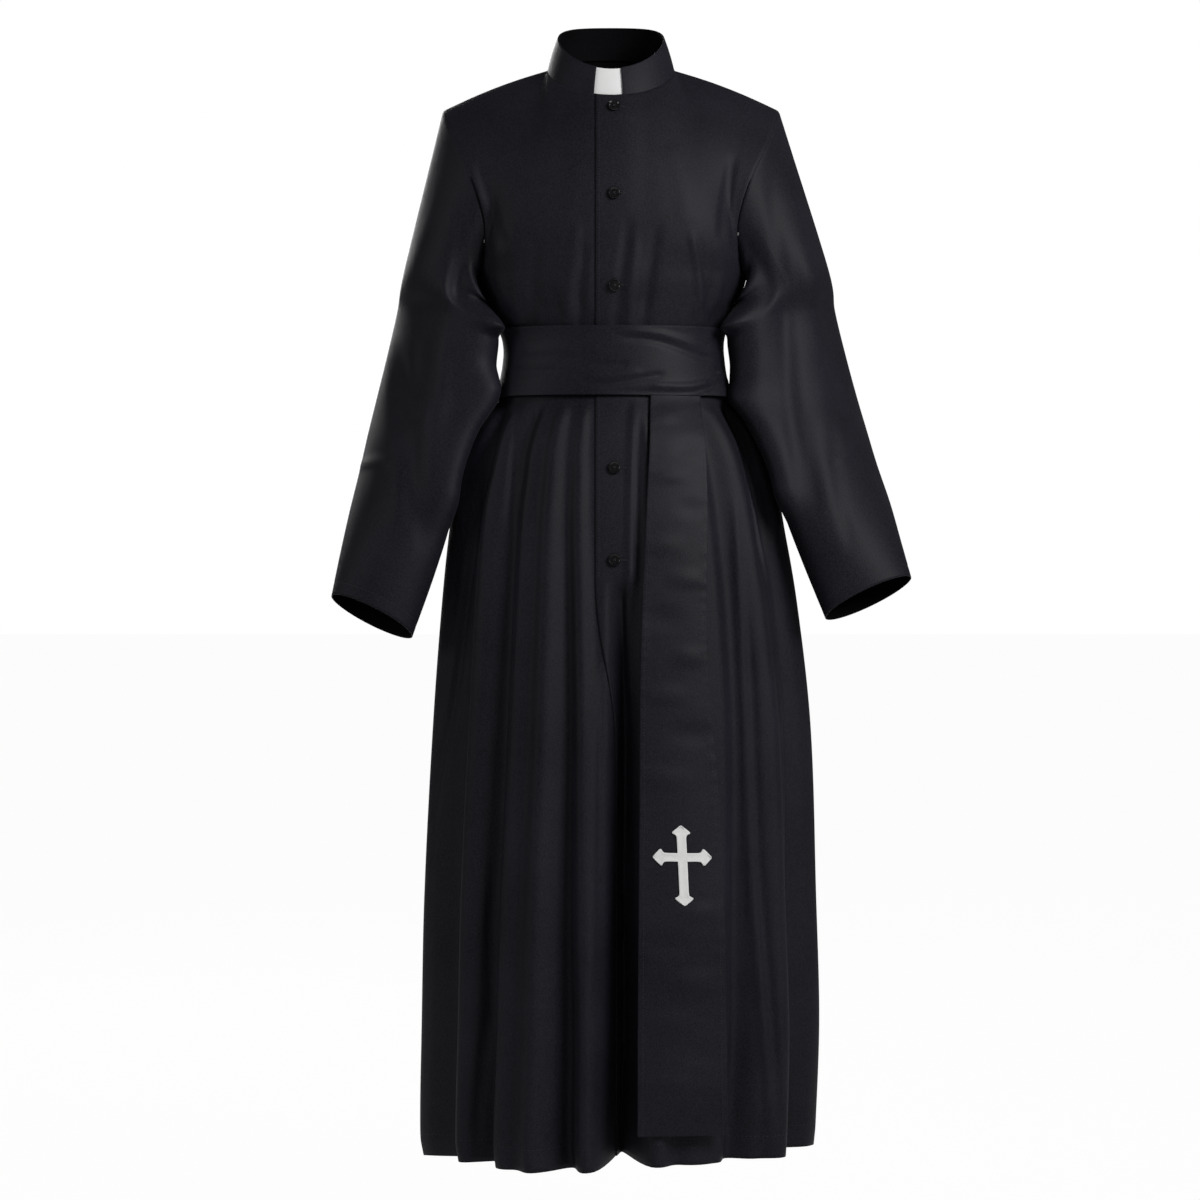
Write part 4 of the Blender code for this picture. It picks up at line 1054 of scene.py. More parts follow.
twill = cloth_material(
    "black twill", (0.0020, 0.0018, 0.0034), (0.0170, 0.0158, 0.0235), 0.0011, 0.8, 0.56, 0.75, 0.15)
satin = cloth_material(
    "black satin", (0.0020, 0.0018, 0.0034), (0.0160, 0.0148, 0.0225), 0.0009, 0.3, 0.52, 0.60, 0.15)
# painted shade: the side that faces in gets much darker colours than the twill, to stand for the
# shade inside the collar and the gown; its matt gloss is the reverse's own
shaded_reverse = cloth_material(
    "cloth from behind with painted shade", (0.0010, 0.0010, 0.0014), (0.0040, 0.0038, 0.0050), 0.0011, -0.8, 0.80, 0.50,
    0.05)
print("cloth:", twill.name, "and", satin.name, "and", shaded_reverse.name)

# %% [markdown]
# The tab is a strip of smooth white plastic, a little yellow where it is handled, with scuffs in
# its gloss. The cross is satin stitch: threads laid side by side, so its sheen runs in fine lines.
# The buttons are moulded and polished, with hair-fine scratches, and sewn on with matt thread.

# %% Tab, cross, buttons and thread


def noise(nodes, vector, scale, detail=2.0):
    return nodes.value(nodes.add(
        "ShaderNodeTexNoise", Vector=vector, Scale=scale, Detail=detail, Roughness=0.55).outputs[0])


def mottled(nodes, low, high, share):
    mixed = nodes.add(
        "ShaderNodeMix", {"data_type": "RGBA"}, _0=share, _6=(*low, 1.0), _7=(*high, 1.0))
    nodes.put(nodes.shader.inputs["Base Color"], mixed.outputs[2])


def bumped(nodes, height, strength, distance):
    raised = nodes.add("ShaderNodeBump", Strength=strength, Distance=distance, Height=height)
    nodes.put(nodes.shader.inputs["Normal"], raised.outputs[0])


def plain_material(name, low, high, roughness, spread, scale, strength, distance):
    """A finish with a slight mottle in its colour, its gloss and its relief."""
    nodes = Nodes(name)
    place = nodes.add("ShaderNodeTexCoord").outputs["Object"]
    broad = noise(nodes, place, scale)
    fine = noise(nodes, place, scale * 12)
    mottled(nodes, low, high, broad)
    nodes.put(nodes.shader.inputs["Roughness"], roughness + (fine - 0.5) * spread)
    bumped(nodes, fine, strength, distance)
    return nodes.material


def stitch_material(name, low, high, pitch):
    """Satin stitch: threads laid side by side."""
    nodes = Nodes(name)
    place = nodes.add("ShaderNodeTexCoord").outputs["Object"]
    split = nodes.add("ShaderNodeSeparateXYZ", _0=place)
    x, z = nodes.value(split.outputs[0]), nodes.value(split.outputs[2])
    wander = noise(nodes, place, 140.0)
    threads = ((x + z * 0.35) * (2 * math.pi / pitch) + wander * 2.5).sine() * 0.5 + 0.5
    mottled(nodes, low, high, threads * 0.6 + wander * 0.4)
    nodes.put(nodes.shader.inputs["Roughness"], 0.42 + threads * 0.14)
    bumped(nodes, threads, 0.6, 0.00025)
    nodes.shader.inputs["Sheen Weight"].default_value = 0.2
    return nodes.material


tab_white = plain_material(
    "white tab", (0.80, 0.80, 0.79), (0.88, 0.88, 0.88), 0.34, 0.12, 30.0, 0.15, 0.0002)
thread_white = stitch_material("white satin stitch", (0.72, 0.72, 0.71), (0.90, 0.90, 0.89), 0.0009)
button_black = plain_material(
    "polished black", (0.0025, 0.0025, 0.0032), (0.005, 0.005, 0.006), 0.22, 0.12, 60.0, 0.12, 0.0001)
thread_black = plain_material(
    "black thread", (0.008, 0.008, 0.010), (0.022, 0.022, 0.026), 0.62, 0.10, 700.0, 0.5, 0.0001)
print("finishes:", len(bpy.data.materials))

# %% Make the five gown pieces
cloth_pieces = {}
for name, points in cloth_points.items():
    mesh = sheet_mesh(name + "_cloth", points, closed=name.startswith("sleeve"))
    piece = finish_piece(name + "_cloth", mesh, twill, (name,))
    thicken(piece, CLOTH, shaded_reverse)
    cloth_pieces[name] = piece
    print(piece.name, len(mesh.polygons), "faces,", round(area_of(mesh), 3), "square metres")

# %% [markdown]
# ## Stitches
#
# A sewing thread shows as a row of short raised dashes that sit in their own groove. Each dash here
# is a small ball, stretched along the seam and laid on the cloth. They are real forms and not
# paint, so they catch the light in a close view and all but vanish from afar, as they do in cloth.

# %% A row of stitches on a sheet
STITCH_LENGTH = 2.4
STITCH_PITCH = 3.4
STITCH_RADIUS = 0.28


def evenly(line, directions, pitch):
    """Places, ways and directions at even steps along a line of points."""
    steps = np.linalg.norm(np.diff(line, axis=0), axis=-1)
    along = np.concatenate([[0.0], np.cumsum(steps)])
    at = np.arange(pitch / 2, along[-1], pitch)
    places = np.stack([np.interp(at, along, line[:, axis]) for axis in range(3)], axis=-1)
    facing = np.stack([np.interp(at, along, directions[:, axis]) for axis in range(3)], axis=-1)
    ahead = np.stack([np.interp(at + 0.5, along, line[:, axis]) for axis in range(3)], axis=-1)
    return places, unit(ahead - places + 1e-9), unit(facing)


def row_at(points, normals, distance):
    """The line that runs at one distance up from a sheet's foot."""
    rises = np.linalg.norm(np.diff(points, axis=0), axis=-1)
    up = np.concatenate([np.zeros((1, points.shape[1])), np.cumsum(rises, axis=0)])
    line = np.empty((points.shape[1], 3))
    facing = np.empty((points.shape[1], 3))
    for column in range(points.shape[1]):
        for axis in range(3):
            line[column, axis] = np.interp(distance, up[:, column], points[:, column, axis])
            facing[column, axis] = np.interp(distance, up[:, column], normals[:, column, axis])
    return line, facing


def sew(name, lines, finish, pitch=STITCH_PITCH, length=STITCH_LENGTH, radius=STITCH_RADIUS):
    """One object with all the stitches of several lines."""
    bm = bmesh.new()
    for line, directions in lines:
        for place, along, facing in zip(*evenly(line, directions, pitch)):
            beside = np.cross(facing, along)
            turn = Matrix((along, beside, facing)).transposed().to_4x4()
            size = Matrix.Diagonal((length / 2 * MM, radius * MM, radius * MM, 1.0))
            middle = Matrix.Translation(Vector(place * MM))
            bmesh.ops.create_icosphere(bm, subdivisions=1, radius=1.0, matrix=middle @ turn @ size)
    mesh = bpy.data.meshes.new(name)
    bm.to_mesh(mesh)
    bm.free()
    mesh.shade_smooth()
    return finish_piece(name, mesh, finish)


def hem_line(name, distance):
    points = cloth_points[name]
    normals = surface_normals(points, closed=name.startswith("sleeve"))
    return row_at(points, normals, distance)


sew("cuff_stitches", [hem_line(name, CUFF_TURNING) for name in ("sleeve_left", "sleeve_right")],
    thread_black)
sew("hem_stitches", [hem_line(name, HEM_TURNING) for name in ("front_left", "front_right", "back")],
    thread_black, pitch=5.0)
print("stitches on cuffs and hem")

# %% [markdown]
# The lap is sewn down along its edge too. Below its end the two fronts are sewn to each other.

# %% Stitches along the lap
LAP_STITCH_INSET = 4.0
lap_points = cloth_points["front_left"]
lap_normals = surface_normals(lap_points)


def lap_line(inset, top, foot):
    """A line down the left front, at one distance in from its free edge."""
    rows = (levels <= top) & (levels >= foot)
    steps = np.linalg.norm(np.diff(lap_points[rows], axis=1), axis=-1)
    along = np.concatenate([np.zeros((rows.sum(), 1)), np.cumsum(steps, axis=1)], axis=1)
    line = np.empty((rows.sum(), 3))
    facing = np.empty((rows.sum(), 3))
    for index, (distances, row, normals) in enumerate(
            zip(along, lap_points[rows], lap_normals[rows])):
        for axis in range(3):
            line[index, axis] = np.interp(inset, distances, row[:, axis])
            facing[index, axis] = np.interp(inset, distances, normals[:, axis])
    return line, facing


sew("lap_stitches", [lap_line(LAP_STITCH_INSET, -52, PLACKET_END)], thread_black)
print("lap stitches from the neck to", PLACKET_END, "mm")

# %% [markdown]
# ## The collar and its tab
#
# The collar is a stiff standing band, cut in a curve so that its top edge is shorter than its base.
# It is thick enough to have rounded edges, which a Bevel modifier gives. The tab slides in behind
# its two front ends and fills the gap between them.

# %% Collar and tab
COLLAR_WALL = 2.2
COLLAR_EDGE_LEFT = 14.0
COLLAR_EDGE_RIGHT = -21.0
COLLAR_BULGE = 0.8
COLLAR_TUCK = -0.07
COLLAR_COLUMNS = 150
COLLAR_ROWS = 18
TAB_WALL = 0.9
TAB_REACH = 12.0
TAB_SHARES = (0.04, 0.98)
TAB_COLUMNS = 40
TAB_ROWS = 12
RIM = Ring(65, 63, -3, 26.7, 37.3, 11)


def collar_wall(degrees, share, inset):
    """A place on the collar's wall, from its base to its rim."""
    point = mix(neck_ring(degrees), ring_point(RIM, degrees), share[..., None])
    away = point - np.array((0.0, mix(NECK.centre_y, RIM.centre_y, 0.5), 0.0))
    away[..., 2] = 0.0
    bulge = COLLAR_BULGE * np.sin(np.pi * share)
    return point + unit(away) * (bulge - inset)[..., None]


def ring_angle(x):
    return math.degrees(math.asin(x / NECK.half_width))


def ring_strip(start, stop, columns, rows, low, high, inset):
    degrees, share = np.meshgrid(np.linspace(start, stop, columns), np.linspace(low, high, rows))
    return collar_wall(degrees, share, np.full(share.shape, inset))


def round_edges(piece, width):
    bevel = piece.modifiers.new("rounded", "BEVEL")
    bevel.width = width * MM
    bevel.segments = 3
    bevel.limit_method = "ANGLE"
    bevel.angle_limit = math.radians(50)
    bevel.profile = 0.5


collar_points = ring_strip(
    ring_angle(COLLAR_EDGE_LEFT), 360 + ring_angle(COLLAR_EDGE_RIGHT),
    COLLAR_COLUMNS, COLLAR_ROWS, COLLAR_TUCK, 1.0, 0.0)
collar_mesh = sheet_mesh("collar_cloth", collar_points)
collar = finish_piece("collar_cloth", collar_mesh, twill, ("collar",))
thicken(collar, COLLAR_WALL, shaded_reverse)
round_edges(collar, 0.7)
tab_points = ring_strip(
    ring_angle(COLLAR_EDGE_RIGHT - TAB_REACH), ring_angle(COLLAR_EDGE_LEFT + TAB_REACH),
    TAB_COLUMNS, TAB_ROWS, *TAB_SHARES, COLLAR_WALL + LAY_GAP)
tab_mesh = sheet_mesh("tab_strip", tab_points)
tab = finish_piece("tab_strip", tab_mesh, tab_white, ("collar_tab",))
thicken(tab, TAB_WALL)
round_edges(tab, 0.25)
print("collar", round(area_of(collar_mesh) * 1e4), "and tab", round(area_of(tab_mesh) * 1e4), "cm2")

# %% [markdown]
# ## The sash
#
# The sash is one long strip, wrapped over the gown and lapped at the wearer's left. It rests on the
# sides and bridges the front, where the lap, a button and the tail's top lie under it. Its creases
# run round it and rise towards the lap, where it is pulled tight.

# %% The band of the sash
BAND_TOP = -314.0
BAND_HEIGHT = 82.0
BAND_DIP = 9.0
BAND_WALL = 1.6
BAND_START = 60.0
BAND_LAP = 20.0
BAND_SEAT = 1.15
BAND_BRIDGE = 4.4
BRIDGE_END = 55.0
BRIDGE_FADE = 30.0
LAP_RISE = 14.0
BAND_ROLL = 1.2
BAND_FOOT = BAND_TOP - BAND_HEIGHT - BAND_DIP
BAND_CREASES = (
    Crease(-2.0, 7, ((-1, -337), (43, -339), (72, -346), (102, -356), (132, -360))),
    Crease(1.8, 7, ((4, -330), (50, -332), (80, -338), (112, -348))),
    Crease(-1.6, 6, ((-38, -391), (-4, -391), (44, -384), (66, -380))),
    Crease(1.4, 7, ((-34, -384), (0, -384), (40, -377))),
    Crease(-2.2, 6, ((-10, -402), (84, -402), (112, -396), (136, -386))),
    Crease(1.9, 7, ((40, -394), (88, -394), (120, -386))),
    Crease(-1.2, 7, ((-64, -360), (-44, -362), (-28, -360))),
    Crease(-1.1, 7, ((-32, -368), (4, -370), (20, -369))),
    Crease(1.1, 9, ((-110, -352), (-70, -350), (-36, -352))),
    Crease(-1.1, 8, ((-126, -372), (-92, -376), (-58, -375))),
    Crease(2.2, 6, ((126, -372), (134, -378), (140, -386))),
)
BAND_BACK_CREASES = (
    Crease(-1.5, 7, ((-120, -340), (-50, -348), (20, -350), (80, -344))),
    Crease(1.3, 7, ((-100, -352), (-30, -360), (40, -360))),
    Crease(-1.4, 6, ((-60, -380), (10, -384), (100, -374))),
    Crease(1.2, 6, ((-20, -330), (60, -328), (118, -334))),
)
BAND_COLUMNS = 300
BAND_ROWS = 30


def waist_point(angle, level, height):
    """Out from the gown without its folds."""
    angle = wrap(angle)
    front = np.abs(angle) <= SIDE_ANGLE
    return base_point(angle, level, front) + height[..., None] * outward(angle, level, front)


def band_points():
    running, share = np.meshgrid(
        np.linspace(BAND_START, BAND_START + 360 + BAND_LAP, BAND_COLUMNS),
        np.linspace(1, 0, BAND_ROWS))
    dip = BAND_DIP * (0.5 + 0.5 * np.cos(np.radians(running)))
    level = BAND_TOP - dip - BAND_HEIGHT * share
    bridge = 1 - ease((np.abs(wrap(running)) - BRIDGE_END) / BRIDGE_FADE)
    lap = (BAND_WALL + LAY_GAP) * ease((running - BAND_START - 360 + LAP_RISE) / LAP_RISE)
    height = BAND_SEAT + BAND_BRIDGE * bridge + lap + BAND_ROLL * np.sin(np.pi * share)
    points = waist_point(running, level, height + BAND_WALL)
    is_front = np.abs(wrap(running)) <= SIDE_ANGLE
    top_layer = (running > BAND_START + BAND_LAP)
    x, z = points[..., 0], points[..., 2]
    crease = np.where(is_front, crease_height(BAND_CREASES, x, z), 0.0)
    crease += np.where(is_front, 0.0, crease_height(BAND_BACK_CREASES, x, z))
    return points + (crease * top_layer)[..., None] * surface_normals(points)


band_mesh = sheet_mesh("cincture_band_cloth", band_points())
band = finish_piece("cincture_band_cloth", band_mesh, satin, ("cincture_band",))
thicken(band, BAND_WALL)
round_edges(band, 0.5)
print("band area", round(area_of(band_mesh), 3), "square metres")

# %% [markdown]
# The tail hangs free in front of the folds. It is a folded strip, sewn along both edges, and the
# seams have drawn up a little, so the edges pucker and soft ripples cross the strip between them.

# %% The tail of the sash
TailPoint = namedtuple("TailPoint", "level left right")
TAIL = (
    TailPoint(-396, 45, 102),
    TailPoint(-520, 39, 105),
    TailPoint(-700, 32, 103),
    TailPoint(-900, 30, 115.5),
    TailPoint(-1100, 28, 119.5),
    TailPoint(-1267, 27, 120),
)
TAIL_WALL = 1.6
TAIL_SEAT = 0.8
TAIL_HANG = 2.6
TAIL_HANG_FADE = 60.0
TAIL_PROBES = 13
TAIL_PROBE_STEP = 20
TAIL_COLUMNS = 36
TAIL_ROWS = 280
PUCKER_PITCH = 15.0
PUCKER_HEIGHT = 0.7
PUCKER_REACH = 0.16
RELIEF_CLEAR = 1.5
Ripple = namedtuple("Ripple", "level across width_up width_across height")
TAIL_RIPPLES = (
    Ripple(-430, 0.3, 14, 0.4, 1.4),
    Ripple(-468, 0.7, 16, 0.4, -1.2),
    Ripple(-502, 0.35, 14, 0.5, 1.5),
    Ripple(-540, 0.75, 16, 0.4, -1.4),
    Ripple(-583, 0.3, 18, 0.5, 1.4),
    Ripple(-622, 0.7, 16, 0.45, 1.7),
    Ripple(-668, 0.3, 20, 0.5, -1.4),
    Ripple(-712, 0.72, 18, 0.4, 1.5),
    Ripple(-756, 0.35, 18, 0.5, 1.4),
    Ripple(-802, 0.7, 20, 0.5, -1.4),
    Ripple(-852, 0.3, 20, 0.5, 1.5),
    Ripple(-1006, 0.72, 18, 0.4, 1.7),
    Ripple(-1042, 0.3, 20, 0.5, -1.5),
    Ripple(-1086, 0.65, 22, 0.5, 1.8),
    Ripple(-1130, 0.3, 18, 0.5, 1.4),
    Ripple(-1168, 0.7, 22, 0.4, -1.5),
    Ripple(-1205, 0.4, 18, 0.5, 1.5),
)


def tail_height(level):
    """How far out the tail hangs at one level, clear of the folds behind it."""
    left = angle_at(read(TAIL, "level", "left", level), level)
    right = angle_at(read(TAIL, "level", "right", level), level)
    shares = np.linspace(0, 1, TAIL_PROBES)
    angle = mix(left[..., None], right[..., None], shares)
    highest = fold_height(angle, level[..., None]).max(axis=-1)
    hang = mix(TAIL_SEAT, TAIL_HANG, ease((BAND_FOOT - level) / TAIL_HANG_FADE))
    return np.maximum(highest, 0) + hang


def tail_point(across, level):
    """A place on the tail's back, and the direction out of it."""
    left = read(TAIL, "level", "left", level)
    right = read(TAIL, "level", "right", level)
    angle = angle_at(mix(left, right, across), level)
    around = [tail_height(level + step * TAIL_PROBE_STEP) for step in (-1, 0, 1)]
    height = np.maximum(sum(around) / 3, around[1])
    return waist_point(angle, level, height), outward(angle, level, np.full(angle.shape, True))


def tail_relief(across, level):
    """Puckers at both sewn edges, and the ripples between them."""
    near = np.maximum(1 - across / PUCKER_REACH, 0) + np.maximum(1 - (1 - across) / PUCKER_REACH, 0)
    beat = level / PUCKER_PITCH + 0.8 * np.sin(level / 37.0) + np.where(across < 0.5, 0.0, 0.4)
    uneven = 0.5 + 0.5 * np.sin(level / 61.0 + 9 * across) * np.sin(level / 23.0)
    relief = PUCKER_HEIGHT * uneven * ease(near) * (0.5 + 0.5 * np.sin(2 * np.pi * beat))
    for ripple in TAIL_RIPPLES:
        up = hump((level - ripple.level) / ripple.width_up)
        relief = relief + ripple.height * up * hump((across - ripple.across) / ripple.width_across)
    return relief + RELIEF_CLEAR


def tail_surface(across, level):
    point, direction = tail_point(across, level)
    return point + (TAIL_WALL + tail_relief(across, level))[..., None] * direction, direction


across, level = np.meshgrid(
    np.linspace(0, 1, TAIL_COLUMNS), np.linspace(TAIL[-1].level, TAIL[0].level, TAIL_ROWS))
tail_points, tail_normals = tail_surface(across, level)
tail_mesh = sheet_mesh("cincture_tail_cloth", tail_points)
tail = finish_piece("cincture_tail_cloth", tail_mesh, satin, ("cincture_tail",))
thicken(tail, TAIL_WALL)
round_edges(tail, 0.5)
edge_lines = [(tail_points[:, column], tail_normals[:, column]) for column in (2, -3)]
sew("tail_stitches", edge_lines, thread_black)
print("tail area", round(area_of(tail_mesh), 4), "square metres")

# %% [markdown]
# ## The cross
#
# The white cross is cut from cloth and edged with satin stitch. Its arms end in barbs with a point.
# It is made flat, from one square: each side is extruded outwards by stations, and the finished
# shape is laid on the tail. An inset gives the raised border of the stitching.

# %% The cross on the tail
CROSS_LEVEL = -942.0
CROSS_ACROSS = 0.51
CROSS_LEAN = 0.03
CROSS_BAR = 4.9
CROSS_WALL = 0.7
CROSS_BORDER = 1.3
CROSS_BORDER_HEIGHT = 0.35
ArmStation = namedtuple("ArmStation", "back_from_tip half_width")
CROSS_TIP = (
    ArmStation(15.0, 4.9),
    ArmStation(11.6, 5.3),
    ArmStation(10.0, 6.9),
    ArmStation(8.8, 9.4),
    ArmStation(7.2, 9.2),
    ArmStation(4.4, 6.2),
    ArmStation(2.0, 3.4),
    ArmStation(0.0, 1.0),
)
CROSS_REACH = (((1, 0), 30.5), ((0, 1), 36.0), ((-1, 0), 30.5), ((0, -1), 55.0))


def cross_place(x, z, height):
    """A place on the tail, by the distance from the middle of the cross."""
    level = CROSS_LEVEL + z - CROSS_LEAN * x
    width = read(TAIL, "level", "right", level) - read(TAIL, "level", "left", level)
    point, direction = tail_surface(CROSS_ACROSS + (x - CROSS_LEAN * z) / width, level)
    return (point + direction * height[..., None]) * MM


def grow_arm(bm, edge, way, reach):
    """Extrude one side of the middle square outwards, station by station."""
    way = Vector((*way, 0.0))
    beside = Vector((-way.y, way.x, 0.0))
    for station in CROSS_TIP:
        made = bmesh.ops.extrude_edge_only(bm, edges=[edge])["geom"]
        verts = [item for item in made if isinstance(item, bmesh.types.BMVert)]
        edge = next(item for item in made if isinstance(item, bmesh.types.BMEdge)
                    and all(vert in verts for vert in item.verts))
        for vert in verts:
            side = 1 if vert.co.dot(beside) > 0 else -1
            vert.co = way * (reach - station.back_from_tip) + beside * side * station.half_width


bm = bmesh.new()
bmesh.ops.create_grid(bm, x_segments=1, y_segments=1, size=CROSS_BAR)
sides = [
    max(bm.edges, key=lambda item: (item.verts[0].co + item.verts[1].co).dot(Vector((*way, 0.0))))
    for way, _ in CROSS_REACH]
for edge, (way, reach) in zip(sides, CROSS_REACH):
    grow_arm(bm, edge, way, reach)
bmesh.ops.subdivide_edges(bm, edges=bm.edges, cuts=3, use_grid_fill=True)
bmesh.ops.recalc_face_normals(bm, faces=bm.faces)
if next(iter(bm.faces)).normal.z < 0:
    bmesh.ops.reverse_faces(bm, faces=bm.faces)
border = bmesh.ops.inset_region(bm, faces=bm.faces, thickness=CROSS_BORDER, use_boundary=True)
for vert in {vert for face in border["faces"] for vert in face.verts}:
    vert.co.z += CROSS_BORDER_HEIGHT
flat = np.array([vert.co for vert in bm.verts])
placed = cross_place(flat[:, 0], flat[:, 1], LAY_GAP + CROSS_WALL + flat[:, 2])
for vert, place in zip(bm.verts, placed):
    vert.co = place
cross_mesh = bpy.data.meshes.new("cross_cloth")
bm.to_mesh(cross_mesh)
bm.free()
cross_mesh.shade_smooth()
cross = finish_piece("cross_cloth", cross_mesh, thread_white, ("cross_applique",))
thicken(cross, CROSS_WALL)
print("cross area", round(area_of(cross_mesh) * 1e4, 1), "cm2")

# %% [markdown]
# ## Buttons and buttonholes
#
# A button is turned: its outline is spun round its axis, and four holes are bored through the dish.
# One mesh serves all six. Each stands a little off the cloth, as on a shank of thread, and is tied
# down by crossed threads. The buttonholes are worked level, as slits edged with thread, and run
# towards the wearer's left.

# %% One button
BUTTON_COUNT = 6
BUTTON_TOP = -60.0
BUTTON_PITCH = 108.0
BUTTON_X = 3.5
BUTTON_RADIUS = 7.5
BUTTON_THICKNESS = 2.6
BUTTON_HOLE = 0.8
BUTTON_HOLE_SPREAD = 1.6
BUTTON_STAND = 1.2
TIE_HEIGHT = 1.3
TIE_STEPS = (-1.5, -0.5, 0.5, 1.5)
ProfilePoint = namedtuple("ProfilePoint", "radius height")
BUTTON_PROFILE = (
    ProfilePoint(0.0, 0.0),
    ProfilePoint(6.4, 0.0),
    ProfilePoint(7.2, 0.4),
    ProfilePoint(7.5, 1.1),
    ProfilePoint(7.4, 1.9),
    ProfilePoint(6.9, 2.5),
    ProfilePoint(6.3, 2.6),
    ProfilePoint(5.8, 2.3),
    ProfilePoint(5.3, 1.5),
    ProfilePoint(4.8, 1.1),
    ProfilePoint(0.0, 1.0),
)


def turned_button():
    bm = bmesh.new()
    verts = [bm.verts.new((point.radius * MM, 0.0, point.height * MM)) for point in BUTTON_PROFILE]
    edges = [bm.edges.new(pair) for pair in zip(verts, verts[1:])]
    bmesh.ops.spin(
        bm, geom=verts + edges, cent=(0, 0, 0), axis=(0, 0, 1), angle=2 * math.pi, steps=40,
        use_merge=True)
    bmesh.ops.remove_doubles(bm, verts=bm.verts, dist=1e-6)
    bmesh.ops.recalc_face_normals(bm, faces=bm.faces)
    mesh = bpy.data.meshes.new("button")
    bm.to_mesh(mesh)
    bm.free()
    return mesh


def bored(mesh):
    """The same mesh with four holes through it."""
    blank = bpy.data.objects.new("button_blank", mesh)
    bits = bmesh.new()
    for x in (-1, 1):
        for y in (-1, 1):
            middle = Vector((x * BUTTON_HOLE_SPREAD * MM, y * BUTTON_HOLE_SPREAD * MM, 0.0))
            bmesh.ops.create_cone(
                bits, cap_ends=True, segments=16, radius1=BUTTON_HOLE * MM,
                radius2=BUTTON_HOLE * MM, depth=4 * BUTTON_THICKNESS * MM,
                matrix=Matrix.Translation(middle))
    cutter_mesh = bpy.data.meshes.new("button_bits")
    bits.to_mesh(cutter_mesh)
    bits.free()
    cutter = bpy.data.objects.new("button_bits", cutter_mesh)
    for item in (blank, cutter):
        bpy.context.scene.collection.objects.link(item)
    cut = blank.modifiers.new("holes", "BOOLEAN")
    cut.operation = "DIFFERENCE"
    cut.object = cutter
    graph = bpy.context.evaluated_depsgraph_get()
    made = bpy.data.meshes.new_from_object(blank.evaluated_get(graph))
    for item in (blank, cutter):
        bpy.data.objects.remove(item, do_unlink=True)
    made.shade_smooth()
    made.set_sharp_from_angle(angle=math.radians(35))
    return made


button_mesh = bored(turned_button())
print("button:", len(button_mesh.polygons), "faces")

# %% Lay the buttons and work the buttonholes
from mathutils.bvhtree import BVHTree

HOLE_LENGTH = 17.0
HOLE_START = -3.0
front_bm = bmesh.new()
front_bm.from_mesh(cloth_pieces["front_left"].data)
front_tree = BVHTree.FromBMesh(front_bm)
front_bm.free()


def on_front(x, z):
    """The place on the left front that is seen at x and z, and its direction."""
    place, normal, _, _ = front_tree.ray_cast(
        Vector((x * MM, -1.0, z * MM)), Vector((0.0, 1.0, 0.0)))
    return np.array(place) / MM, np.array(normal if normal.y < 0 else -normal)


hole_lines = []
tie_lines = []
for index in range(BUTTON_COUNT):
    z = BUTTON_TOP - BUTTON_PITCH * index
    place, normal = on_front(BUTTON_X, z)
    mesh = button_mesh.copy()
    turn = Vector((0, 0, 1)).rotation_difference(Vector(normal)).to_matrix().to_4x4()
    move = Matrix.Translation(Vector((place + normal * BUTTON_STAND) * MM)) @ turn
    mesh.transform(move)
    name = f"button_{index + 1}"
    finish_piece(name + "_turned", mesh, button_black, (name,))
    for sign in (-1, 1):
        ends = [Vector((x, sign * x, TIE_HEIGHT)) * MM for x in TIE_STEPS]
        line = np.array([move @ end for end in ends]) / MM
        tie_lines.append((line, np.broadcast_to(normal, line.shape)))
    for drop in (-0.55, 0.55):
        spots = [on_front(BUTTON_X + HOLE_START + step, z + drop)
                 for step in np.linspace(0, HOLE_LENGTH, 12)]
        hole_lines.append((np.array([spot[0] for spot in spots]),
                           np.array([spot[1] for spot in spots])))
sew("button_ties", tie_lines, thread_black, pitch=1.5, length=2.2, radius=0.4)
sew("buttonholes", hole_lines, thread_black, pitch=0.7, length=0.9, radius=0.5)
print("buttons and buttonholes:", BUTTON_COUNT)

# %% [markdown]
# ## Print the cut of each cloth piece
#
# A finished sheet has to come from a real piece of cloth. For each one, the size of the rectangle
# that it is cut from and its flat area, measured on the hanging sheet, are printed.


def declare(piece, sides=1):
    mesh = piece.data
    uv = np.empty(len(mesh.uv_layers[0].data) * 2)
    mesh.uv_layers[0].data.foreach_get("uv", uv)
    size = uv.reshape(-1, 2).max(axis=0) - uv.reshape(-1, 2).min(axis=0)
    area = area_of(mesh)
    width, length = float(size[0]), float(size[1])
    area = min(area, width * length)
    print(piece.name, "cut from", round(width, 3), "x", round(length, 3), "m,",
          round(area, 4), "square metres")


for name in ("front_left", "front_right", "back", "sleeve_left", "sleeve_right"):
    declare(cloth_pieces[name])
declare(collar)
declare(band)
declare(tail)

# %% [markdown]
# ## Floor, light and camera
#
# The gown hangs as if worn, above a plain pale floor. The light is a large soft source from the
# viewer's right, in front and above, with a weak one at the left and one behind, and a dim room all
# round that the camera sees as white. The camera looks level at the middle of the gown, from as far
# as a portrait photographer would stand.

# %% Studio
FLOOR_LEVEL = -1.47
FLOOR_REACH = 60.0
ROOM_LIGHT = 0.10
CAMERA_PLACE = (-0.0134, -3.2, -0.6466)
CAMERA_LENS = 78.7

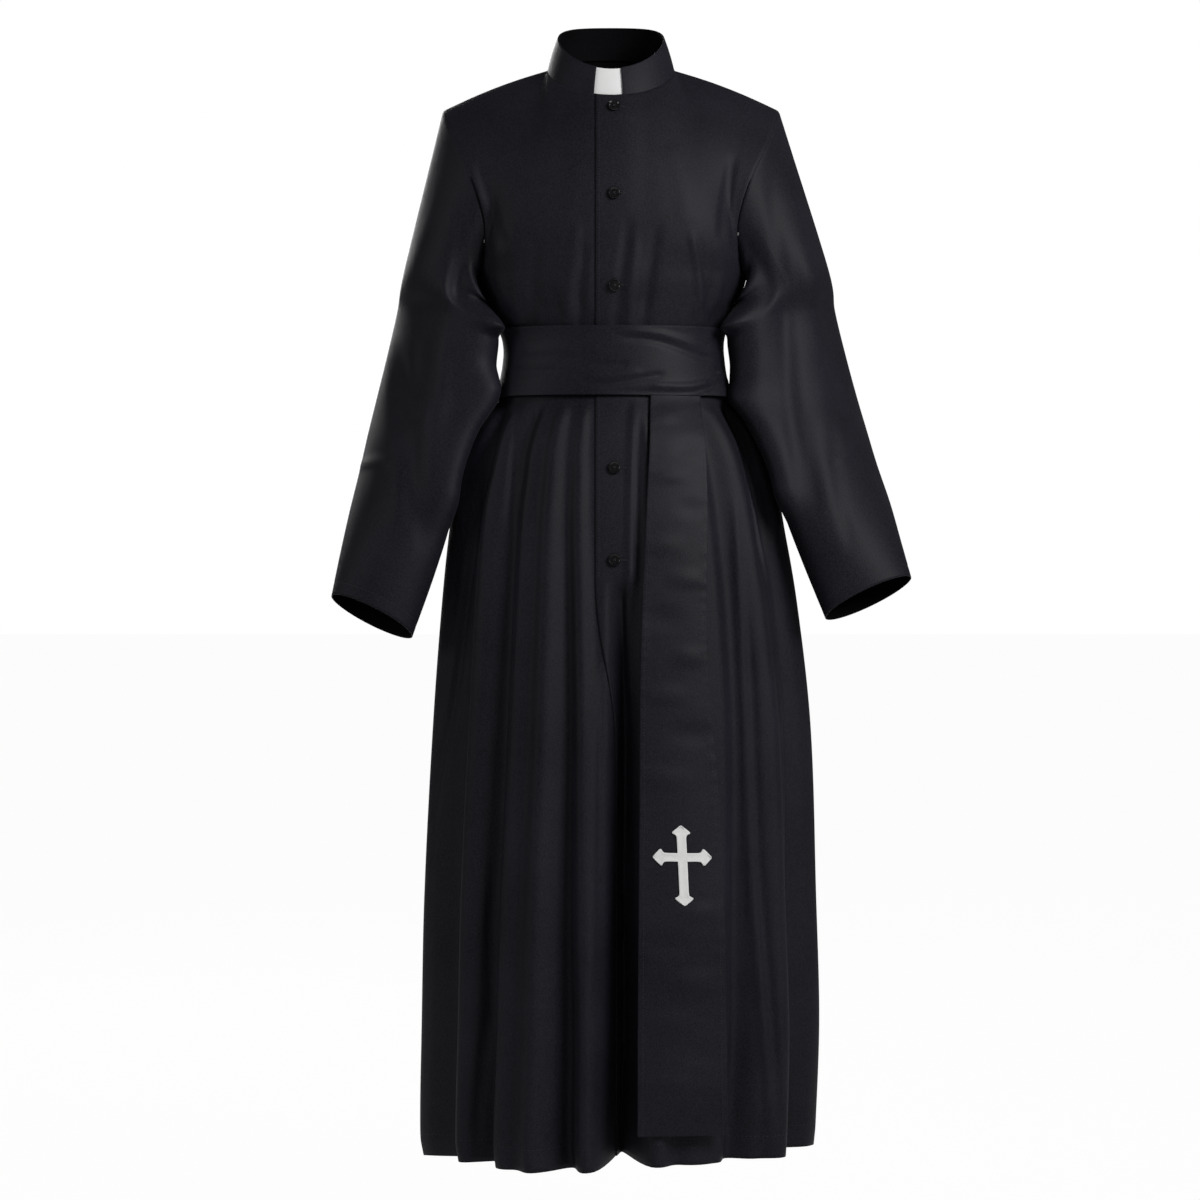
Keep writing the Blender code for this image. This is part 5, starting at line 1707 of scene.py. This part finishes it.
studio = Nodes("studio white")
glow = studio.add("ShaderNodeEmission", Strength=1.0)
seen = studio.add("ShaderNodeLightPath")
shown = studio.add(
    "ShaderNodeMixShader", _0=studio.value(seen.outputs["Is Camera Ray"]) * 0.97,
    _1=studio.shader.outputs[0], _2=glow.outputs[0])
studio.put(studio.tree.nodes["Material Output"].inputs["Surface"], shown.outputs[0])
studio.shader.inputs["Base Color"].default_value = (0.80, 0.80, 0.80, 1.0)
studio.shader.inputs["Roughness"].default_value = 0.9
bm = bmesh.new()
bmesh.ops.create_grid(bm, x_segments=1, y_segments=1, size=FLOOR_REACH,
                      matrix=Matrix.Translation((0.0, 0.0, FLOOR_LEVEL)))
floor_mesh = bpy.data.meshes.new("floor")
bm.to_mesh(floor_mesh)
bm.free()
floor_mesh.materials.append(studio.material)
floor = bpy.data.objects.new("floor", floor_mesh)
bpy.context.scene.collection.objects.link(floor)

# %% A white room that shows brighter than it shines
room = bpy.data.worlds.new("white room")
bpy.context.scene.world = room
room.use_nodes = True
tree = room.node_tree
walls = tree.nodes["Background"]
walls.inputs["Color"].default_value = (1.0, 1.0, 1.0, 1.0)
rays = tree.nodes.new("ShaderNodeLightPath")
bright = tree.nodes.new("ShaderNodeMapRange")
bright.inputs["To Min"].default_value = ROOM_LIGHT
bright.inputs["To Max"].default_value = 1.0
tree.links.new(rays.outputs["Is Camera Ray"], bright.inputs["Value"])
tree.links.new(bright.outputs["Result"], walls.inputs["Strength"])


def soft_light(name, place, aim, size, power):
    lamp = bpy.data.lights.new(name, "AREA")
    lamp.shape = "SQUARE"
    lamp.size = size
    lamp.energy = power
    made = bpy.data.objects.new(name, lamp)
    bpy.context.scene.collection.objects.link(made)
    made.location = place
    made.rotation_euler = (Vector(aim) - Vector(place)).to_track_quat("-Z", "Y").to_euler()


soft_light("key", (1.75, -1.75, 0.8), (0.0, 0.0, -0.45), 1.1, 62)
soft_light("fill", (-2.7, -1.2, 0.5), (0.0, 0.0, -0.5), 1.2, 16)
soft_light("behind", (-1.2, 2.6, 0.9), (0.0, 0.0, -0.5), 1.4, 50)

camera_data = bpy.data.cameras.new("camera")
camera_data.lens = CAMERA_LENS
camera_data.sensor_width = 36.0
camera = bpy.data.objects.new("camera", camera_data)
bpy.context.scene.collection.objects.link(camera)
camera.location = CAMERA_PLACE
camera.rotation_euler = (math.radians(90), 0.0, 0.0)
bpy.context.scene.camera = camera
bpy.context.scene.view_settings.view_transform = "Standard"
print("camera at", CAMERA_PLACE)
